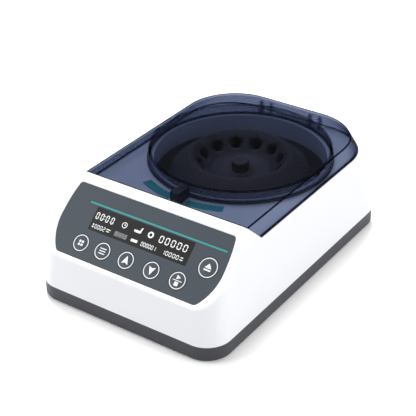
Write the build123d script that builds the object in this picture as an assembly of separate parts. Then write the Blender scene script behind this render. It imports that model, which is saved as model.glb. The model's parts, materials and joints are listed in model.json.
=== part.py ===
from build123d import *
import os
from math import cos, radians, sin, tan

# Bench mini centrifuge: a white housing on a dark base tray, a sloping control
# panel at the front and a clear smoked lid hinged at the rear over a rotor.
# Millimetres. X is across, Y runs to the rear, Z is up. The origin is on the
# table under the middle of the housing's footprint.

# Housing
body_width = 190.0
body_depth = 281.0
foot_height = 2.0
tray_top = 16.2
deck_height = 97.3
hood_height = 14.2
seam_height = deck_height - hood_height
wall = 2.5
base_corner_radius = 23.0
seam_corner_radius = 47.5
deck_corner_radius = 51.5
seam_half_width = 89.3
deck_half_width = 83.4
front_lean = 0.105
seam_rear_inset = 5.0
deck_rear_inset = 8.2
edge_radius = 5.0
lid_edge_radius = 2.0
rear_bevel = 2.0

# Sloping panel face
panel_angle = 40.84
panel_top_from_front = 54.5
panel_top_drop = 4.2
panel_top_height = deck_height - panel_top_drop
panel_wall = 3.2
crown_radius = 11.0
panel_length = 64.0
panel_top_width = 159.6
panel_middle_width = 167.0
panel_middle_down = 33.0
panel_bottom_width = 143.4
panel_top_corner = 3.8
panel_bottom_corner = 6.0
panel_thickness = 1.6
panel_fit = 0.15

# Display, at places down the slope from the panel's top edge
display_left = -52.3
display_right = 48.5
display_top = 16.2
display_length = 20.8
display_corner = 1.0
window_thickness = 1.2

# Keys
key_names = ("key_program", "key_menu", "key_up", "key_down", "key_start")
key_places = (-52.1, -29.0, -4.3, 21.8, 48.0)
key_row = 50.3
key_diameter = 16.2
open_key_place = (68.4, 31.7)
open_key_diameter = 18.4
key_travel = 0.6
key_gap = 0.2
key_stem_radius = 2.5
switch_size = 6.0
switch_height = 3.0
board_thickness = 1.6
board_width = 158.0
board_length = 54.0
board_top = 6.0
board_post_radius = 3.0

# Lid
lid_front_from_front = 63.7
lid_front_lean = 0.937
lid_gap = 0.3
rotor_axis_from_front = 181.5
ring_top_radius = 82.8
ring_bottom_radius = 84.6
ring_bottom_rise = 2.3
ring_bottom_height = seam_height + ring_bottom_rise
ring_wall = 2.2

# Lid hinge
hinge_from_rear = 11.0
hinge_drop = 12.1
hinge_height = seam_height - hinge_drop
hinge_spread = 54.0
lug_width = 14.0
lug_rib = 3.0
lug_back = 3.5
knuckle_radius = 4.5
pin_radius = 2.0
pin_clearance = 0.05
lug_clearance = 0.5
bracket_wall = 3.0
spring_length = 7.0
spring_wall = 0.8
lid_opening = 80.0

# Chamber
chamber_radius = 78.6
chamber_wall = 1.4
collar_depth = 16.6
collar_bottom = seam_height - collar_depth
rim_rise = 1.4
rim_height = seam_height + rim_rise
rim_width = 3.4
gasket_width = 2.6
gasket_height = 2.1
bowl_depth = 43.1
bowl_floor = seam_height - bowl_depth
bowl_wall = 2.0
bowl_flange = 5.0
bowl_corner = 10.0
bowl_hole_radius = 16.0
soft_gap = 0.3

# Rotor
place_count = 12
place_offset = 9.5
tube_radius = 5.5
tube_depth = 38.0
tube_tilt = 45.0
mouth_radius = 36.0
mouth_drop = 5.1
mouth_height = seam_height - mouth_drop
dish_depth = 10.0
dish_floor = mouth_height - dish_depth
crest_radius = 47.0
crest_rise = 3.4
crest_height = seam_height + crest_rise
rim_radius = 63.0
rotor_rim_drop = 10.1
rotor_rim_height = seam_height - rotor_rim_drop
skirt_radius = 70.0
rotor_lift = 5.5
rotor_bottom = bowl_floor + rotor_lift
rotor_web = 2.5
hub_radius = 14.0

# Spindle, hand nut and motor
spindle_radius = 4.0
seat_radius = 5.5
seat_height = bowl_floor + 10.0
stud_radius = 3.0
stud_top = dish_floor + 8.0
nut_radius = 8.0
nut_top = dish_floor + 11.0
nut_bottom = dish_floor + 2.0
nut_clearance = 0.05
nut_flutes = 12
motor_radius = 28.0
motor_bottom = 9.5
plate_height = bowl_floor - 6.0
plate_thickness = 2.5
plate_size = 84.0
isolator_spread = 68.0
isolator_radius = 6.0
isolator_height = 12.0
bearing_radius = 9.0
bearing_length = (plate_height - motor_bottom) * 0.245
bearing_clearance = 0.03
air_gap = 0.6
core_radius = 14.0
can_wall = 2.0

# Latch, under the front of the ledge
latch_from_axis = 97.5
striker_width = 9.0
striker_length = 17.0
striker_gap = 1.0
stem_width = 5.0
stem_length = 10.0
stem_drop = 21.1
stem_bottom = seam_height - stem_drop
catch_drop = 14.1
catch_height = seam_height - catch_drop
catch_length = 5.0
catch_rise = 6.0
pawl_gap = 0.5
pawl_travel = 5.0
latch_plate = 2.0
latch_plate_length = 24.0
latch_plate_depth = 18.0
latch_block_size = 12.0
solenoid_radius = 7.0
solenoid_length = 20.0
plunger_gap = 4.0
channel_length = 10.8

# Base tray, feet and screws
tray_floor = 2.5
tray_edge = 2.0
tray_lip = 3.0
lip_gap = 0.5
lip_wall = 1.5
foot_radius = 9.0
foot_inset_x = 27.0
foot_inset_y = 30.0
foot_stem_radius = 3.0
screw_inset_x = 13.5
screw_inset_y = 62.0
post_radius = 5.0
screw_radius = 1.9
screw_head_radius = 3.6
screw_head_height = 2.4
screw_length = 22.0
vent_count = 9
vent_pitch = 6.0
vent_width = 2.4
vent_length = 34.0
vent_from_axis = 45.0

# Rear panel with the mains inlet, fuse drawer and power switch
rear_panel_width = 132.0
rear_panel_height = 32.0
rear_panel_centre = 36.0
rear_panel_thickness = 2.5
rear_panel_depth = 3.4
wall_cut = 30.0
inlet_place = -42.0
inlet_width = 27.0
inlet_height = 19.8
inlet_depth = 20.0
inlet_flange = 1.5
socket_depth = 14.0
pin_recess = 5.5
drawer_height = 6.0
drawer_width = 22.0
drawer_depth = 16.0
drawer_gap = 0.2
drawer_travel = 10.0
fuse_radius = 2.5
fuse_length = 20.0
switch_place = 42.0
rocker_width = 12.0
rocker_height = 19.0
rocker_tilt = 10.0
rocker_radius = 7.5
rocker_hollow = 22.4
rocker_proud = 0.2
frame_rim = 2.0
switch_depth = 14.0
switch_room = 12.0
switch_lip = 1.2
pivot_radius = 1.0
pivot_depth = 4.0
rear_vent_drop = 15.0
rear_vent_height = hinge_height - rear_vent_drop
rear_vent_length = 8.0
rear_vent_count = 11
rear_vent_pitch = 5.0

# Boards inside
power_board_width = 76.0
power_board_length = 52.0
power_board_place = (-38.0, -96.0)
transformer_size = (32.0, 28.0, 24.0)
capacitor_radius = 8.0
capacitor_from_middle = 20.0
capacitor_height = 22.0

# Places worked out from the sizes above
front = -body_depth / 2
rear = body_depth / 2
axis_y = front + rotor_axis_from_front
lid_front = front + lid_front_from_front
hinge_y = rear - hinge_from_rear
slope = tan(radians(panel_angle))
rim_outer = chamber_radius + rim_width
chamber_outer = chamber_radius + chamber_wall
gasket_inner = rim_outer + soft_gap
gasket_outer = gasket_inner + gasket_width
ledge_hole = chamber_outer + soft_gap
board_depth = panel_thickness + key_travel + switch_height + 4.0
latch_y = axis_y - latch_from_axis
plate_top = plate_height + plate_thickness

# How far cutting shapes reach past the body, and above the lid
big = 400.0
beyond = 50.0
lid_room = 20.0

panel_plane = Plane(
    origin=(0, front + panel_top_from_front, panel_top_height),
    x_dir=(1, 0, 0),
    z_dir=(0, -sin(radians(panel_angle)), cos(radians(panel_angle))),
)


def box(x0, x1, y0, y1, z0, z1):
    """A box between two corners."""
    place = Pos((x0 + x1) / 2, (y0 + y1) / 2, (z0 + z1) / 2)
    return place * Box(x1 - x0, y1 - y0, z1 - z0)


def post(x, y, z0, z1, radius):
    """An upright cylinder."""
    return Pos(x, y, (z0 + z1) / 2) * Cylinder(radius, z1 - z0)


def tube(x, y, z0, z1, outer, inner):
    """An upright cylinder with a bore."""
    return post(x, y, z0, z1, outer) - post(x, y, z0 - 1, z1 + 1, inner)


def rod_x(x0, x1, y, z, radius):
    """A cylinder lying along X."""
    return Pos((x0 + x1) / 2, y, z) * Rot(0, 90, 0) * Cylinder(radius, x1 - x0)


def turned(points):
    """A solid of revolution about the rotor's axis, from radius and height pairs."""
    outline = make_face(Polyline(*[(r, 0, z) for r, z in points], close=True))
    return Pos(0, axis_y, 0) * revolve(outline, Axis.Z)


def ring_places(count, radius, start=0.0):
    """Angles and places of a ring of like things about the rotor's axis."""
    for index in range(count):
        angle = start + index * 360.0 / count
        yield angle, radius * cos(radians(angle)), radius * sin(radians(angle))


def plan(height, half_width, y0, y1, front_corner, rear_corner):
    """The housing's outline at one height, with its own front and rear corners."""
    corners = [(-half_width, y0), (half_width, y0), (half_width, y1), (-half_width, y1)]
    face = make_face(Polyline(*corners, close=True))
    face = fillet(face.vertices().sort_by(Axis.Y)[:2], front_corner)
    face = fillet(face.vertices().sort_by(Axis.Y)[-2:], rear_corner)
    return Pos(0, 0, height) * face


def side_values(height, inset):
    """Half width, front and rear of the housing at a height, moved in by an inset."""
    lean = front + (height - tray_top) * front_lean
    if height <= seam_height:
        share = (height - tray_top) / (seam_height - tray_top)
        half = body_width / 2 + share * (seam_half_width - body_width / 2)
        back = rear - share * seam_rear_inset
        corner = base_corner_radius + share * (seam_corner_radius - base_corner_radius)
    else:
        share = (height - seam_height) / (deck_height - seam_height)
        half = seam_half_width + share * (deck_half_width - seam_half_width)
        back = rear - seam_rear_inset - share * (deck_rear_inset - seam_rear_inset)
        corner = seam_corner_radius + share * (deck_corner_radius - seam_corner_radius)
    return half - inset, lean + inset, back - inset, base_corner_radius - inset, corner - inset


def hull(inset, low, high):
    """The housing's outer form between two heights, moved in by an inset."""
    solid = loft([plan(low, *side_values(low, inset)), plan(seam_height, *side_values(seam_height, inset))])
    solid += loft([plan(seam_height, *side_values(seam_height, inset)), plan(high, *side_values(high, inset))])
    return solid


def under_slope(depth, lid_wall):
    """What lies under the sloping panel face and the deck, each moved in by a depth."""
    drop = depth / cos(radians(panel_angle))
    top = deck_height - lid_wall
    meet = front + panel_top_from_front + (top - panel_top_height + drop) / slope
    low_z = panel_top_height - drop - (panel_top_from_front + beyond) * slope
    points = [(meet, top), (rear + beyond, top), (rear + beyond, -beyond), (front - beyond, -beyond),
              (front - beyond, low_z)]
    face = make_face(Polyline(*[(0, y, z) for y, z in points], close=True))
    prism = extrude(face, amount=big / 2, dir=(1, 0, 0)) + extrude(face, amount=big / 2, dir=(-1, 0, 0))
    if lid_wall == 0:
        crown = prism.edges().filter_by(Axis.X).filter_by_position(Axis.Y, meet - 1, meet + 1)
        prism = fillet(crown, crown_radius)
    return prism


def lid_space(offset):
    """The space that the lid takes above the ledge, grown forwards and down by an offset."""
    run = offset * (1 + lid_front_lean ** 2) ** 0.5
    low = seam_height - offset
    top_y = lid_front - run - lid_room * lid_front_lean
    low_y = lid_front - run + (deck_height - low) * lid_front_lean
    points = [(top_y, deck_height + lid_room), (low_y, low), (rear + beyond, low),
              (rear + beyond, deck_height + lid_room)]
    face = make_face(Polyline(*[(0, y, z) for y, z in points], close=True))
    return extrude(face, amount=big / 2, dir=(1, 0, 0)) + extrude(face, amount=big / 2, dir=(-1, 0, 0))


def on_panel(x, down, depth=0.0):
    """A place on the sloping face: across, down from the panel's top edge, and inwards."""
    return panel_plane * Pos(x, -down, -depth)


def screw(x, y, z, length):
    """A pan-head screw whose head's underside is at a height, pointing up."""
    return post(x, y, z - screw_head_height, z, screw_head_radius) + post(x, y, z, z + length, screw_radius)


def corner_places(inset_x, inset_y):
    """Four like places, one in each corner of the footprint."""
    for sx in (-1, 1):
        for sy in (-1, 1):
            yield sx * (body_width / 2 - inset_x), sy * (body_depth / 2 - inset_y)


def key_list():
    """Every key's name, place across, place down the slope and diameter."""
    keys = [(n, x, key_row, key_diameter) for n, x in zip(key_names, key_places)]
    return keys + [("key_open", *open_key_place, open_key_diameter)]


def panel_outline(inset):
    """Outline of the panel in its own plane: sides bowed outwards and round corners."""
    top = (panel_top_width / 2 - inset, -inset)
    middle = (panel_middle_width / 2 - inset, -panel_middle_down)
    bottom = (panel_bottom_width / 2 - inset, -panel_length + inset)
    sides = [TangentArc(middle, top, tangent=(0, 1)), TangentArc(middle, bottom, tangent=(0, -1))]
    sides += [mirror(side, about=Plane.YZ) for side in sides]
    rims = [Line((-top[0], top[1]), top), Line((-bottom[0], bottom[1]), bottom)]
    face = make_face(sides + rims)
    face = fillet(face.vertices().sort_by(Axis.Y)[-2:], panel_top_corner)
    return fillet(face.vertices().sort_by(Axis.Y)[:2], panel_bottom_corner)


def sunk(face, depth):
    """A flat outline made solid down from its own plane, whichever way the outline faces."""
    return extrude(face, amount=depth, dir=(0, 0, -1))


def display_shape(grow):
    """The display window's rounded rectangle on the panel's plane."""
    middle = (display_left + display_right) / 2
    size = (display_right - display_left + 2 * grow, display_length + 2 * grow)
    return Pos(middle, -display_top - display_length / 2) * RectangleRounded(*size, display_corner + grow)


def sign(value):
    """Plus or minus one, as the value is."""
    return 1 if value > 0 else -1


def screw_posts():
    """Centres of the four screws that hold the housing to the tray."""
    return list(corner_places(screw_inset_x, screw_inset_y))


def is_rim(edge, top_faces):
    """True where an edge belongs to only one of the top faces."""
    middle = edge.position_at(0.5)
    return sum(1 for f in top_faces if f.distance_to(middle) < 1e-4) == 1


def rounded_top(solid, radius, low_y, high_y):
    """Round the rim of a solid's upper faces, where it lies between two places along Y."""
    top_faces = solid.faces().filter_by(lambda f: f.normal_at().Z > 0.5)
    rims = top_faces.edges().filter_by(lambda e: is_rim(e, top_faces))
    return fillet(rims.filter_by(lambda e: low_y < e.position_at(0.5).Y < high_y), radius)


form = hull(0, tray_top, deck_height + 3) & under_slope(0, 0)
inner_form = hull(wall, tray_top - 1, deck_height)


def make_shell():
    """White housing: hollow, open below, with a ledge under the lid."""
    solid = rounded_top(form - lid_space(0), edge_radius, front - 1, lid_front + 1)
    solid -= rear_wedge()
    hollow = (inner_form & under_slope(panel_wall, wall)) - lid_space(wall)
    solid -= hollow
    solid -= post(0, axis_y, seam_height - 2 * wall, seam_height + 1, ledge_hole)
    pocket = sunk(panel_outline(0), panel_thickness)
    solid -= panel_plane * pocket
    solid -= panel_plane * extrude(display_shape(panel_fit), amount=-panel_wall * 2)
    for _, x, down, diameter in key_list():
        solid -= on_panel(x, down) * Cylinder(diameter / 2 + 0.5, panel_wall * 3)
    for sx in (-1, 1):
        for down in (board_top + 4, board_top + board_length - 4):
            mast = on_panel(sx * (board_width / 2 - 4), down, (panel_wall + board_depth) / 2)
            solid += mast * Cylinder(board_post_radius, board_depth - panel_wall)
    slot = (lug_width / 2 + lug_clearance)
    for sx in (-1, 1):
        x = sx * hinge_spread / 2
        low = hinge_height - knuckle_radius - 1
        front_face = hinge_y - knuckle_radius - 2 * lug_clearance
        solid -= box(x - slot, x + slot, front_face, rear + 5, low, seam_height + 1)
    stem = stem_length / 2 + 1.2
    solid -= box(-stem_width / 2 - 1.0, stem_width / 2 + 1.0, latch_y - stem, latch_y + stem,
                 seam_height - 2 * wall, seam_height + 1)
    for x, y in screw_posts():
        out = body_width / 2 - wall / 2
        web = box(min(x, out * sign(x)), max(x, out * sign(x)), y - 1, y + 1, tray_top + 4, tray_top + screw_length)
        pillar = post(x, y, tray_top, tray_top + screw_length, post_radius) + (web & form)
        solid += pillar
        solid -= post(x, y, tray_top - 1, tray_top + screw_length - 2, screw_radius)
    solid -= rear_opening(0)
    first = -(rear_vent_count - 1) / 2 * rear_vent_pitch
    for index in range(rear_vent_count):
        x = first + index * rear_vent_pitch
        solid -= box(x - vent_width / 2, x + vent_width / 2, rear - 12, rear + 5,
                     rear_vent_height, rear_vent_height + rear_vent_length)
    return solid


def rear_wedge():
    """The bevel along the ledge's rear edge, past which the lid's skirt swings down."""
    edge = rear - seam_rear_inset - rear_bevel
    points = [(edge, seam_height), (edge + 10, seam_height - 10), (edge + 10, seam_height + 5), (edge, seam_height + 5)]
    face = make_face(Polyline(*[(0, y, z) for y, z in points], close=True))
    return extrude(face, amount=big / 2, dir=(1, 0, 0)) + extrude(face, amount=big / 2, dir=(-1, 0, 0))


def rear_opening(inset):
    """The opening in the rear wall that the rear panel fills."""
    half = rear_panel_width / 2 - inset
    tall = rear_panel_height / 2 - inset
    return box(-half, half, rear - wall_cut, rear + 5, rear_panel_centre - tall, rear_panel_centre + tall)


def make_tray():
    """Dark base tray: an open box with a lip, posts, feet holes and vents."""
    low = foot_height
    y0, y1 = front, rear
    half = body_width / 2
    outer = extrude(plan(low, half, y0, y1, base_corner_radius, base_corner_radius), amount=tray_top - low)
    bottom = outer.edges().filter_by_position(Axis.Z, low - 0.01, low + 0.01)
    outer = fillet(bottom, tray_edge)
    inner = plan(low + tray_floor, half - wall, y0 + wall, y1 - wall,
                 base_corner_radius - wall, base_corner_radius - wall)
    solid = outer - extrude(inner, amount=tray_top)
    lip_out = wall + lip_gap
    lip = extrude(plan(tray_top - 4, half - lip_out, y0 + lip_out, y1 - lip_out,
                       base_corner_radius - lip_out, base_corner_radius), amount=4 + tray_lip)
    lip_in = lip_out + lip_wall
    lip -= extrude(plan(tray_top - 5, half - lip_in, y0 + lip_in, y1 - lip_in,
                        base_corner_radius - lip_in, base_corner_radius - lip_wall), amount=9 + tray_lip)
    for x, y in screw_posts():
        lip -= post(x, y, tray_top, tray_top + 6, post_radius + soft_gap)
        lip -= box(x - 8, x + 8, y - 1 - soft_gap, y + 1 + soft_gap, tray_top, tray_top + 6)
    joint = extrude(plan(tray_top - 4, half - 1, y0 + 1, y1 - 1,
                         base_corner_radius - 1, base_corner_radius - 1), amount=3.5)
    joint -= extrude(plan(tray_top - 5, half - lip_in, y0 + lip_in, y1 - lip_in,
                          base_corner_radius - lip_in, base_corner_radius - lip_in), amount=9)
    solid += lip + joint
    for x, y in screw_posts():
        solid += post(x, y, low + tray_floor / 2, tray_top, post_radius)
        solid -= post(x, y, low - 1, tray_top + 1, screw_radius + 0.1)
        solid -= post(x, y, low - 1, low + screw_head_height + 1, screw_head_radius + 0.2)
    for x, y in corner_places(foot_inset_x, foot_inset_y):
        solid -= post(x, y, low - 1, low + tray_floor + 1, foot_stem_radius)
    for sx in (-1, 1):
        for sy in (-1, 1):
            x = sx * isolator_spread / 2
            y = axis_y + sy * isolator_spread / 2
            solid += post(x, y, low + tray_floor / 2, plate_height - isolator_height, isolator_radius)
    px, py = power_board_place
    for sx in (-1, 1):
        for sy in (-1, 1):
            x = px + sx * (power_board_width / 2 - 4)
            y = py + sy * (power_board_length / 2 - 4)
            solid += post(x, y, low + tray_floor / 2, power_board_bottom(), 3)
    first = -(vent_count - 1) / 2 * vent_pitch
    for index in range(vent_count):
        x = first + index * vent_pitch
        solid -= box(x - vent_width / 2, x + vent_width / 2, axis_y - vent_from_axis - vent_length,
                     axis_y - vent_from_axis, low - 1, low + tray_floor + 1)
    return solid


def power_board_bottom():
    """Height of the underside of the power board."""
    return foot_height + tray_floor + 6


def make_feet():
    """Four rubber feet with stems pushed into the tray."""
    feet = []
    for x, y in corner_places(foot_inset_x, foot_inset_y):
        pad = post(x, y, 0, foot_height, foot_radius)
        pad = chamfer(pad.edges().filter_by_position(Axis.Z, -0.01, 0.01), 1.0)
        feet.append(pad + post(x, y, foot_height, foot_height + tray_floor + 1.5, foot_stem_radius - 0.05))
    return feet


def make_base_screws():
    """Four screws up through the tray into the housing's posts."""
    head = foot_height + screw_head_height + 1
    return [screw(x, y, head, screw_length + tray_top - head - 4) for x, y in screw_posts()]


def make_panel():
    """Control panel plate, lying in its pocket."""
    plate = sunk(panel_outline(panel_fit), panel_thickness)
    plate -= extrude(display_shape(panel_fit), amount=-2 * panel_thickness)
    for _, x, down, diameter in key_list():
        plate -= Pos(x, -down) * Cylinder(diameter / 2 + key_gap, 3 * panel_thickness)
    return panel_plane * plate


def make_window():
    """Black display window, flush in the panel plate."""
    return panel_plane * extrude(display_shape(0), amount=-window_thickness)


def make_module():
    """Display module between the window and the control board."""
    depth = board_depth
    shape = extrude(display_shape(-0.6), amount=-(depth - window_thickness))
    return panel_plane * Pos(0, 0, -window_thickness) * shape


def make_key(x, down, diameter):
    """One key cap with the stem that presses its switch."""
    cap = Cylinder(diameter / 2, panel_thickness)
    cap = fillet(cap.edges().filter_by_position(Axis.Z, panel_thickness / 2 - 0.01, panel_thickness / 2 + 0.01), 0.25)
    stem_end = board_depth - switch_height - key_travel - 0.15
    length = stem_end - panel_thickness
    stem = Cylinder(key_stem_radius, length)
    return on_panel(x, down, panel_thickness / 2) * cap + on_panel(x, down, panel_thickness + length / 2) * stem


def make_switches():
    """Six push switches on the control board, one under each key."""
    depth = board_depth - switch_height / 2
    return [on_panel(x, down, depth) * Box(switch_size, switch_size, switch_height) for _, x, down, _ in key_list()]


def make_board():
    """Control board behind the panel, on the housing's posts."""
    middle = board_top + board_length / 2
    return on_panel(0, middle, board_depth + board_thickness / 2) * Box(board_width, board_length, board_thickness)


def make_board_screws():
    """Four small screws that hold the control board to its posts."""
    out = []
    for sx in (-1, 1):
        for down in (board_top + 4, board_top + board_length - 4):
            place = on_panel(sx * (board_width / 2 - 4), down, board_depth + board_thickness + 0.9)
            out.append(place * Cylinder(2.6, 1.8))
    return out


def make_lid():
    """Clear hood: deck, skirt, sealing ring wall and two hinge lugs, one moulding."""
    room = Pos(0, lid_gap * 1.4, 0) * lid_space(0) & Pos(0, 0, lid_gap) * lid_space(0)
    solid = rounded_top(form & room, lid_edge_radius, lid_front + 1, rear + 1)
    hollow = hull(wall, seam_height - 5, deck_height - wall) & (Pos(0, wall * 1.37 + lid_gap, 0) * lid_space(5))
    hollow &= box(-big, big, -big, big, 0, deck_height - wall)
    solid -= hollow
    top = deck_height - wall / 2
    ring = turned([
        (ring_bottom_radius - ring_wall, ring_bottom_height), (ring_bottom_radius, ring_bottom_height),
        (ring_top_radius, top), (ring_top_radius - ring_wall, top)])
    ring &= form
    solid += ring
    for sx in (-1, 1):
        solid += hinge_lug(sx * hinge_spread / 2)
    for sx in (-1, 1):
        x = sx * hinge_spread / 2
        solid -= rod_x(x - lug_width, x + lug_width, hinge_y, hinge_height, pin_radius + pin_clearance)
    return solid


def hinge_lug(x):
    """One lug of the lid: two ribs over a knuckle that turns on the pin."""
    half = lug_width / 2
    y0 = hinge_y - knuckle_radius
    y1 = hinge_y + lug_back
    top = deck_height - wall / 2
    lug = box(x - half, x + half, y0, y1, hinge_height, top)
    lug &= form
    lug += rod_x(x - half, x + half, hinge_y, hinge_height, knuckle_radius)
    return lug - box(x - half + lug_rib, x + half - lug_rib, y0 - 1, y1 - 1.5, seam_height, deck_height - wall)


def make_pins():
    """Two steel hinge pins, each carried by its bracket."""
    half = lug_width / 2 + lug_clearance + bracket_wall
    pins = []
    for sx in (-1, 1):
        x = sx * hinge_spread / 2
        outer = x + sx * (half + spring_length + 1)
        inner = x - sx * half
        pins.append(rod_x(min(inner, outer), max(inner, outer), hinge_y, hinge_height, pin_radius))
    return pins


def make_brackets():
    """Two hinge brackets inside the rear wall: two cheeks on a foot each."""
    half = lug_width / 2 + lug_clearance
    low = hinge_height - knuckle_radius - 1.5
    back = rear - seam_rear_inset - wall - 0.2
    brackets = []
    for sx in (-1, 1):
        x = sx * hinge_spread / 2
        y0 = hinge_y - knuckle_radius - 1
        body = box(x - half - bracket_wall, x + half + bracket_wall, y0, back, low - bracket_wall, seam_height - wall)
        body -= box(x - half, x + half, y0 - 1, back + 1, low, seam_height)
        body -= rod_x(x - 2 * lug_width, x + 2 * lug_width, hinge_y, hinge_height, pin_radius + 0.01)
        brackets.append(body)
    return brackets


def make_springs():
    """Two torsion springs on the pins, drawn as plain sleeves."""
    springs = []
    for sx in (-1, 1):
        start = sx * hinge_spread / 2 + sx * (lug_width / 2 + lug_clearance + bracket_wall)
        end = start + sx * spring_length
        low, high = min(start, end), max(start, end)
        sleeve = rod_x(low, high, hinge_y, hinge_height, pin_radius + spring_wall)
        springs.append(sleeve - rod_x(low - 1, high + 1, hinge_y, hinge_height, pin_radius + 0.01))
    return springs


def make_striker():
    """Latch striker under the lid's deck, with the stem that enters the latch."""
    top = deck_height - wall
    half = striker_width / 2
    back = axis_y - ring_bottom_radius - striker_gap
    block = box(-half, half, back - striker_length, back, seam_height + 1.5, top)
    block = fillet(block.edges().filter_by(Axis.Z), 1.0)
    stem = box(-stem_width / 2, stem_width / 2, latch_y - stem_length / 2, latch_y + stem_length / 2,
               stem_bottom, seam_height + 2)
    stem = fillet(stem.edges().filter_by(Axis.X).sort_by(Axis.Z)[:2], 1.5)
    catch = box(-stem_width, stem_width, latch_y - catch_length / 2, latch_y + catch_length / 2,
                catch_height - catch_rise / 2, catch_height + catch_rise / 2)
    return block + stem - catch


def pawl_section(grow):
    """Width and height of the latch pawl, grown for its channel."""
    return catch_length - 2 * pawl_gap + 2 * grow, catch_rise - 2 * pawl_gap + 2 * grow


def make_pawl():
    """Sliding latch pawl with its plunger rod."""
    deep, tall = pawl_section(0)
    tip = -stem_width / 2 - pawl_gap
    back = tip - channel_length
    bar = box(back, tip, latch_y - deep / 2, latch_y + deep / 2, catch_height - tall / 2, catch_height + tall / 2)
    return bar + rod_x(back - solenoid_length + plunger_gap, back, latch_y, catch_height, deep / 2 - 0.2)


def make_latch_frame():
    """Latch frame under the ledge: a plate with a channel for the pawl."""
    top = seam_height - wall
    low = top - latch_plate
    deep, tall = pawl_section(0.15)
    length = latch_plate_length / 2
    deep_half = latch_plate_depth / 2
    frame = box(-length, length, latch_y - deep_half, latch_y + deep_half, low, top)
    frame -= box(-stem_width / 2 - 1, stem_width / 2 + 1, latch_y - stem_length / 2 - 1.2,
                 latch_y + stem_length / 2 + 1.2, low - 1, top + 1)
    end = -stem_width / 2 - 1
    block_half = latch_block_size / 2
    block = box(end - channel_length, end, latch_y - block_half, latch_y + block_half,
                catch_height - block_half, low)
    block -= box(end - channel_length - 1, end + 1, latch_y - deep / 2, latch_y + deep / 2,
                 catch_height - tall / 2, catch_height + tall / 2)
    return frame + block


def make_solenoid():
    """Solenoid that moves the pawl."""
    end = -stem_width / 2 - 1 - channel_length
    deep, _ = pawl_section(0)
    body = rod_x(end - solenoid_length, end, latch_y, catch_height, solenoid_radius)
    return body - rod_x(end - solenoid_length + 2, end + 1, latch_y, catch_height, deep / 2 + 0.2)


def make_collar():
    """Pale chamber collar that drops into the ledge's hole and hangs on its rim."""
    return turned([
        (chamber_radius, collar_bottom), (chamber_outer, collar_bottom), (chamber_outer, seam_height),
        (rim_outer, seam_height), (rim_outer, rim_height), (chamber_radius, rim_height)])


def make_gasket():
    """Black rubber seal round the rim, under the lid's ring wall."""
    top = seam_height + gasket_height
    ring = turned([(gasket_inner, seam_height), (gasket_outer, seam_height),
                   (gasket_outer, top), (gasket_inner, top)])
    return fillet(ring.edges().filter_by_position(Axis.Z, top - 0.01, top + 0.01), 0.6)


def make_bowl():
    """Dark rotor bowl under the collar: its flange is cut flat in front of the hinge brackets."""
    outer = chamber_radius + bowl_wall
    lip = outer + bowl_flange
    low = bowl_floor
    shape = turned([
        (bowl_hole_radius, low), (outer, low), (outer, collar_bottom - bowl_wall),
        (lip, collar_bottom - bowl_wall), (lip, collar_bottom), (chamber_radius, collar_bottom),
        (chamber_radius, low + bowl_wall), (bowl_hole_radius, low + bowl_wall)])
    inner = shape.edges().filter_by_position(Axis.Z, low + bowl_wall - 0.01, low + bowl_wall + 0.01)
    shape = fillet(inner.filter_by(lambda e: e.radius > chamber_radius - 1), bowl_corner)
    outside = shape.edges().filter_by_position(Axis.Z, low - 0.01, low + 0.01)
    outside = outside.filter_by(lambda e: e.radius > chamber_radius)
    shape = fillet(outside, bowl_corner)
    flat = hinge_y - knuckle_radius - 1 - soft_gap
    return shape - box(-big, big, flat, flat + beyond, collar_bottom - bowl_wall - 0.01, collar_bottom + 0.01)


def make_bowl_hangers():
    """Four hangers from the housing's ledge to the bowl's flange."""
    outer = chamber_radius + bowl_wall
    middle = outer + bowl_flange / 2
    out = []
    for _, x, y in ring_places(4, middle, 45):
        out.append(tube(x, axis_y + y, collar_bottom, seam_height - wall, bowl_flange / 2, 0.9))
    return out


def make_seal():
    """Rubber seal between the bowl's hole and the spindle."""
    return turned([
        (seat_radius + 1.5, bowl_floor), (bowl_hole_radius - 0.05, bowl_floor),
        (bowl_hole_radius - 0.05, bowl_floor + bowl_wall), (seat_radius + 1.5, bowl_floor + bowl_wall)])


def make_rotor():
    """Angle rotor: a dished solid of revolution with a ring of slanted tube holes."""
    tilt = radians(tube_tilt)
    web_start = mouth_radius - tube_radius * sin(tilt) - rotor_web
    web_height = mouth_height - tube_radius * cos(tilt) - rotor_web
    low_web = web_start + (web_height - (dish_floor - 3))
    foot_web = web_start + (web_height - rotor_bottom)
    cone_out = mouth_radius + (crest_height - mouth_height)
    cone_in = mouth_radius - (mouth_height - dish_floor)
    profile = [
        (seat_radius, rotor_bottom + 2), (hub_radius, rotor_bottom + 2), (hub_radius, dish_floor - 3),
        (low_web, dish_floor - 3), (foot_web, rotor_bottom), (skirt_radius, rotor_bottom),
        (rim_radius, rotor_rim_height), (crest_radius, crest_height), (cone_out, crest_height),
        (cone_in, dish_floor), (hub_radius - 2, dish_floor), (hub_radius - 2, nut_bottom),
        (stud_radius + 0.3, nut_bottom), (stud_radius + 0.3, dish_floor - 6), (seat_radius, dish_floor - 6)]
    body = turned(profile)
    rims = body.edges().filter_by(GeomType.CIRCLE)
    body = fillet(rims.filter_by(lambda e: e.radius > rim_radius - 0.1 and e.radius < rim_radius + 0.1), 3.0)
    straight = tube_depth - tube_radius
    for angle, _, _ in ring_places(place_count, mouth_radius, place_offset):
        hole = Pos(0, 0, (6 - straight) / 2) * Cylinder(tube_radius, straight + 6)
        hole += Pos(0, 0, -straight) * Sphere(tube_radius)
        place = Pos(0, axis_y, 0) * Rot(0, 0, angle) * Pos(mouth_radius, 0, mouth_height)
        body -= place * Rot(0, -tube_tilt, 0) * hole
    return body


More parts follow.
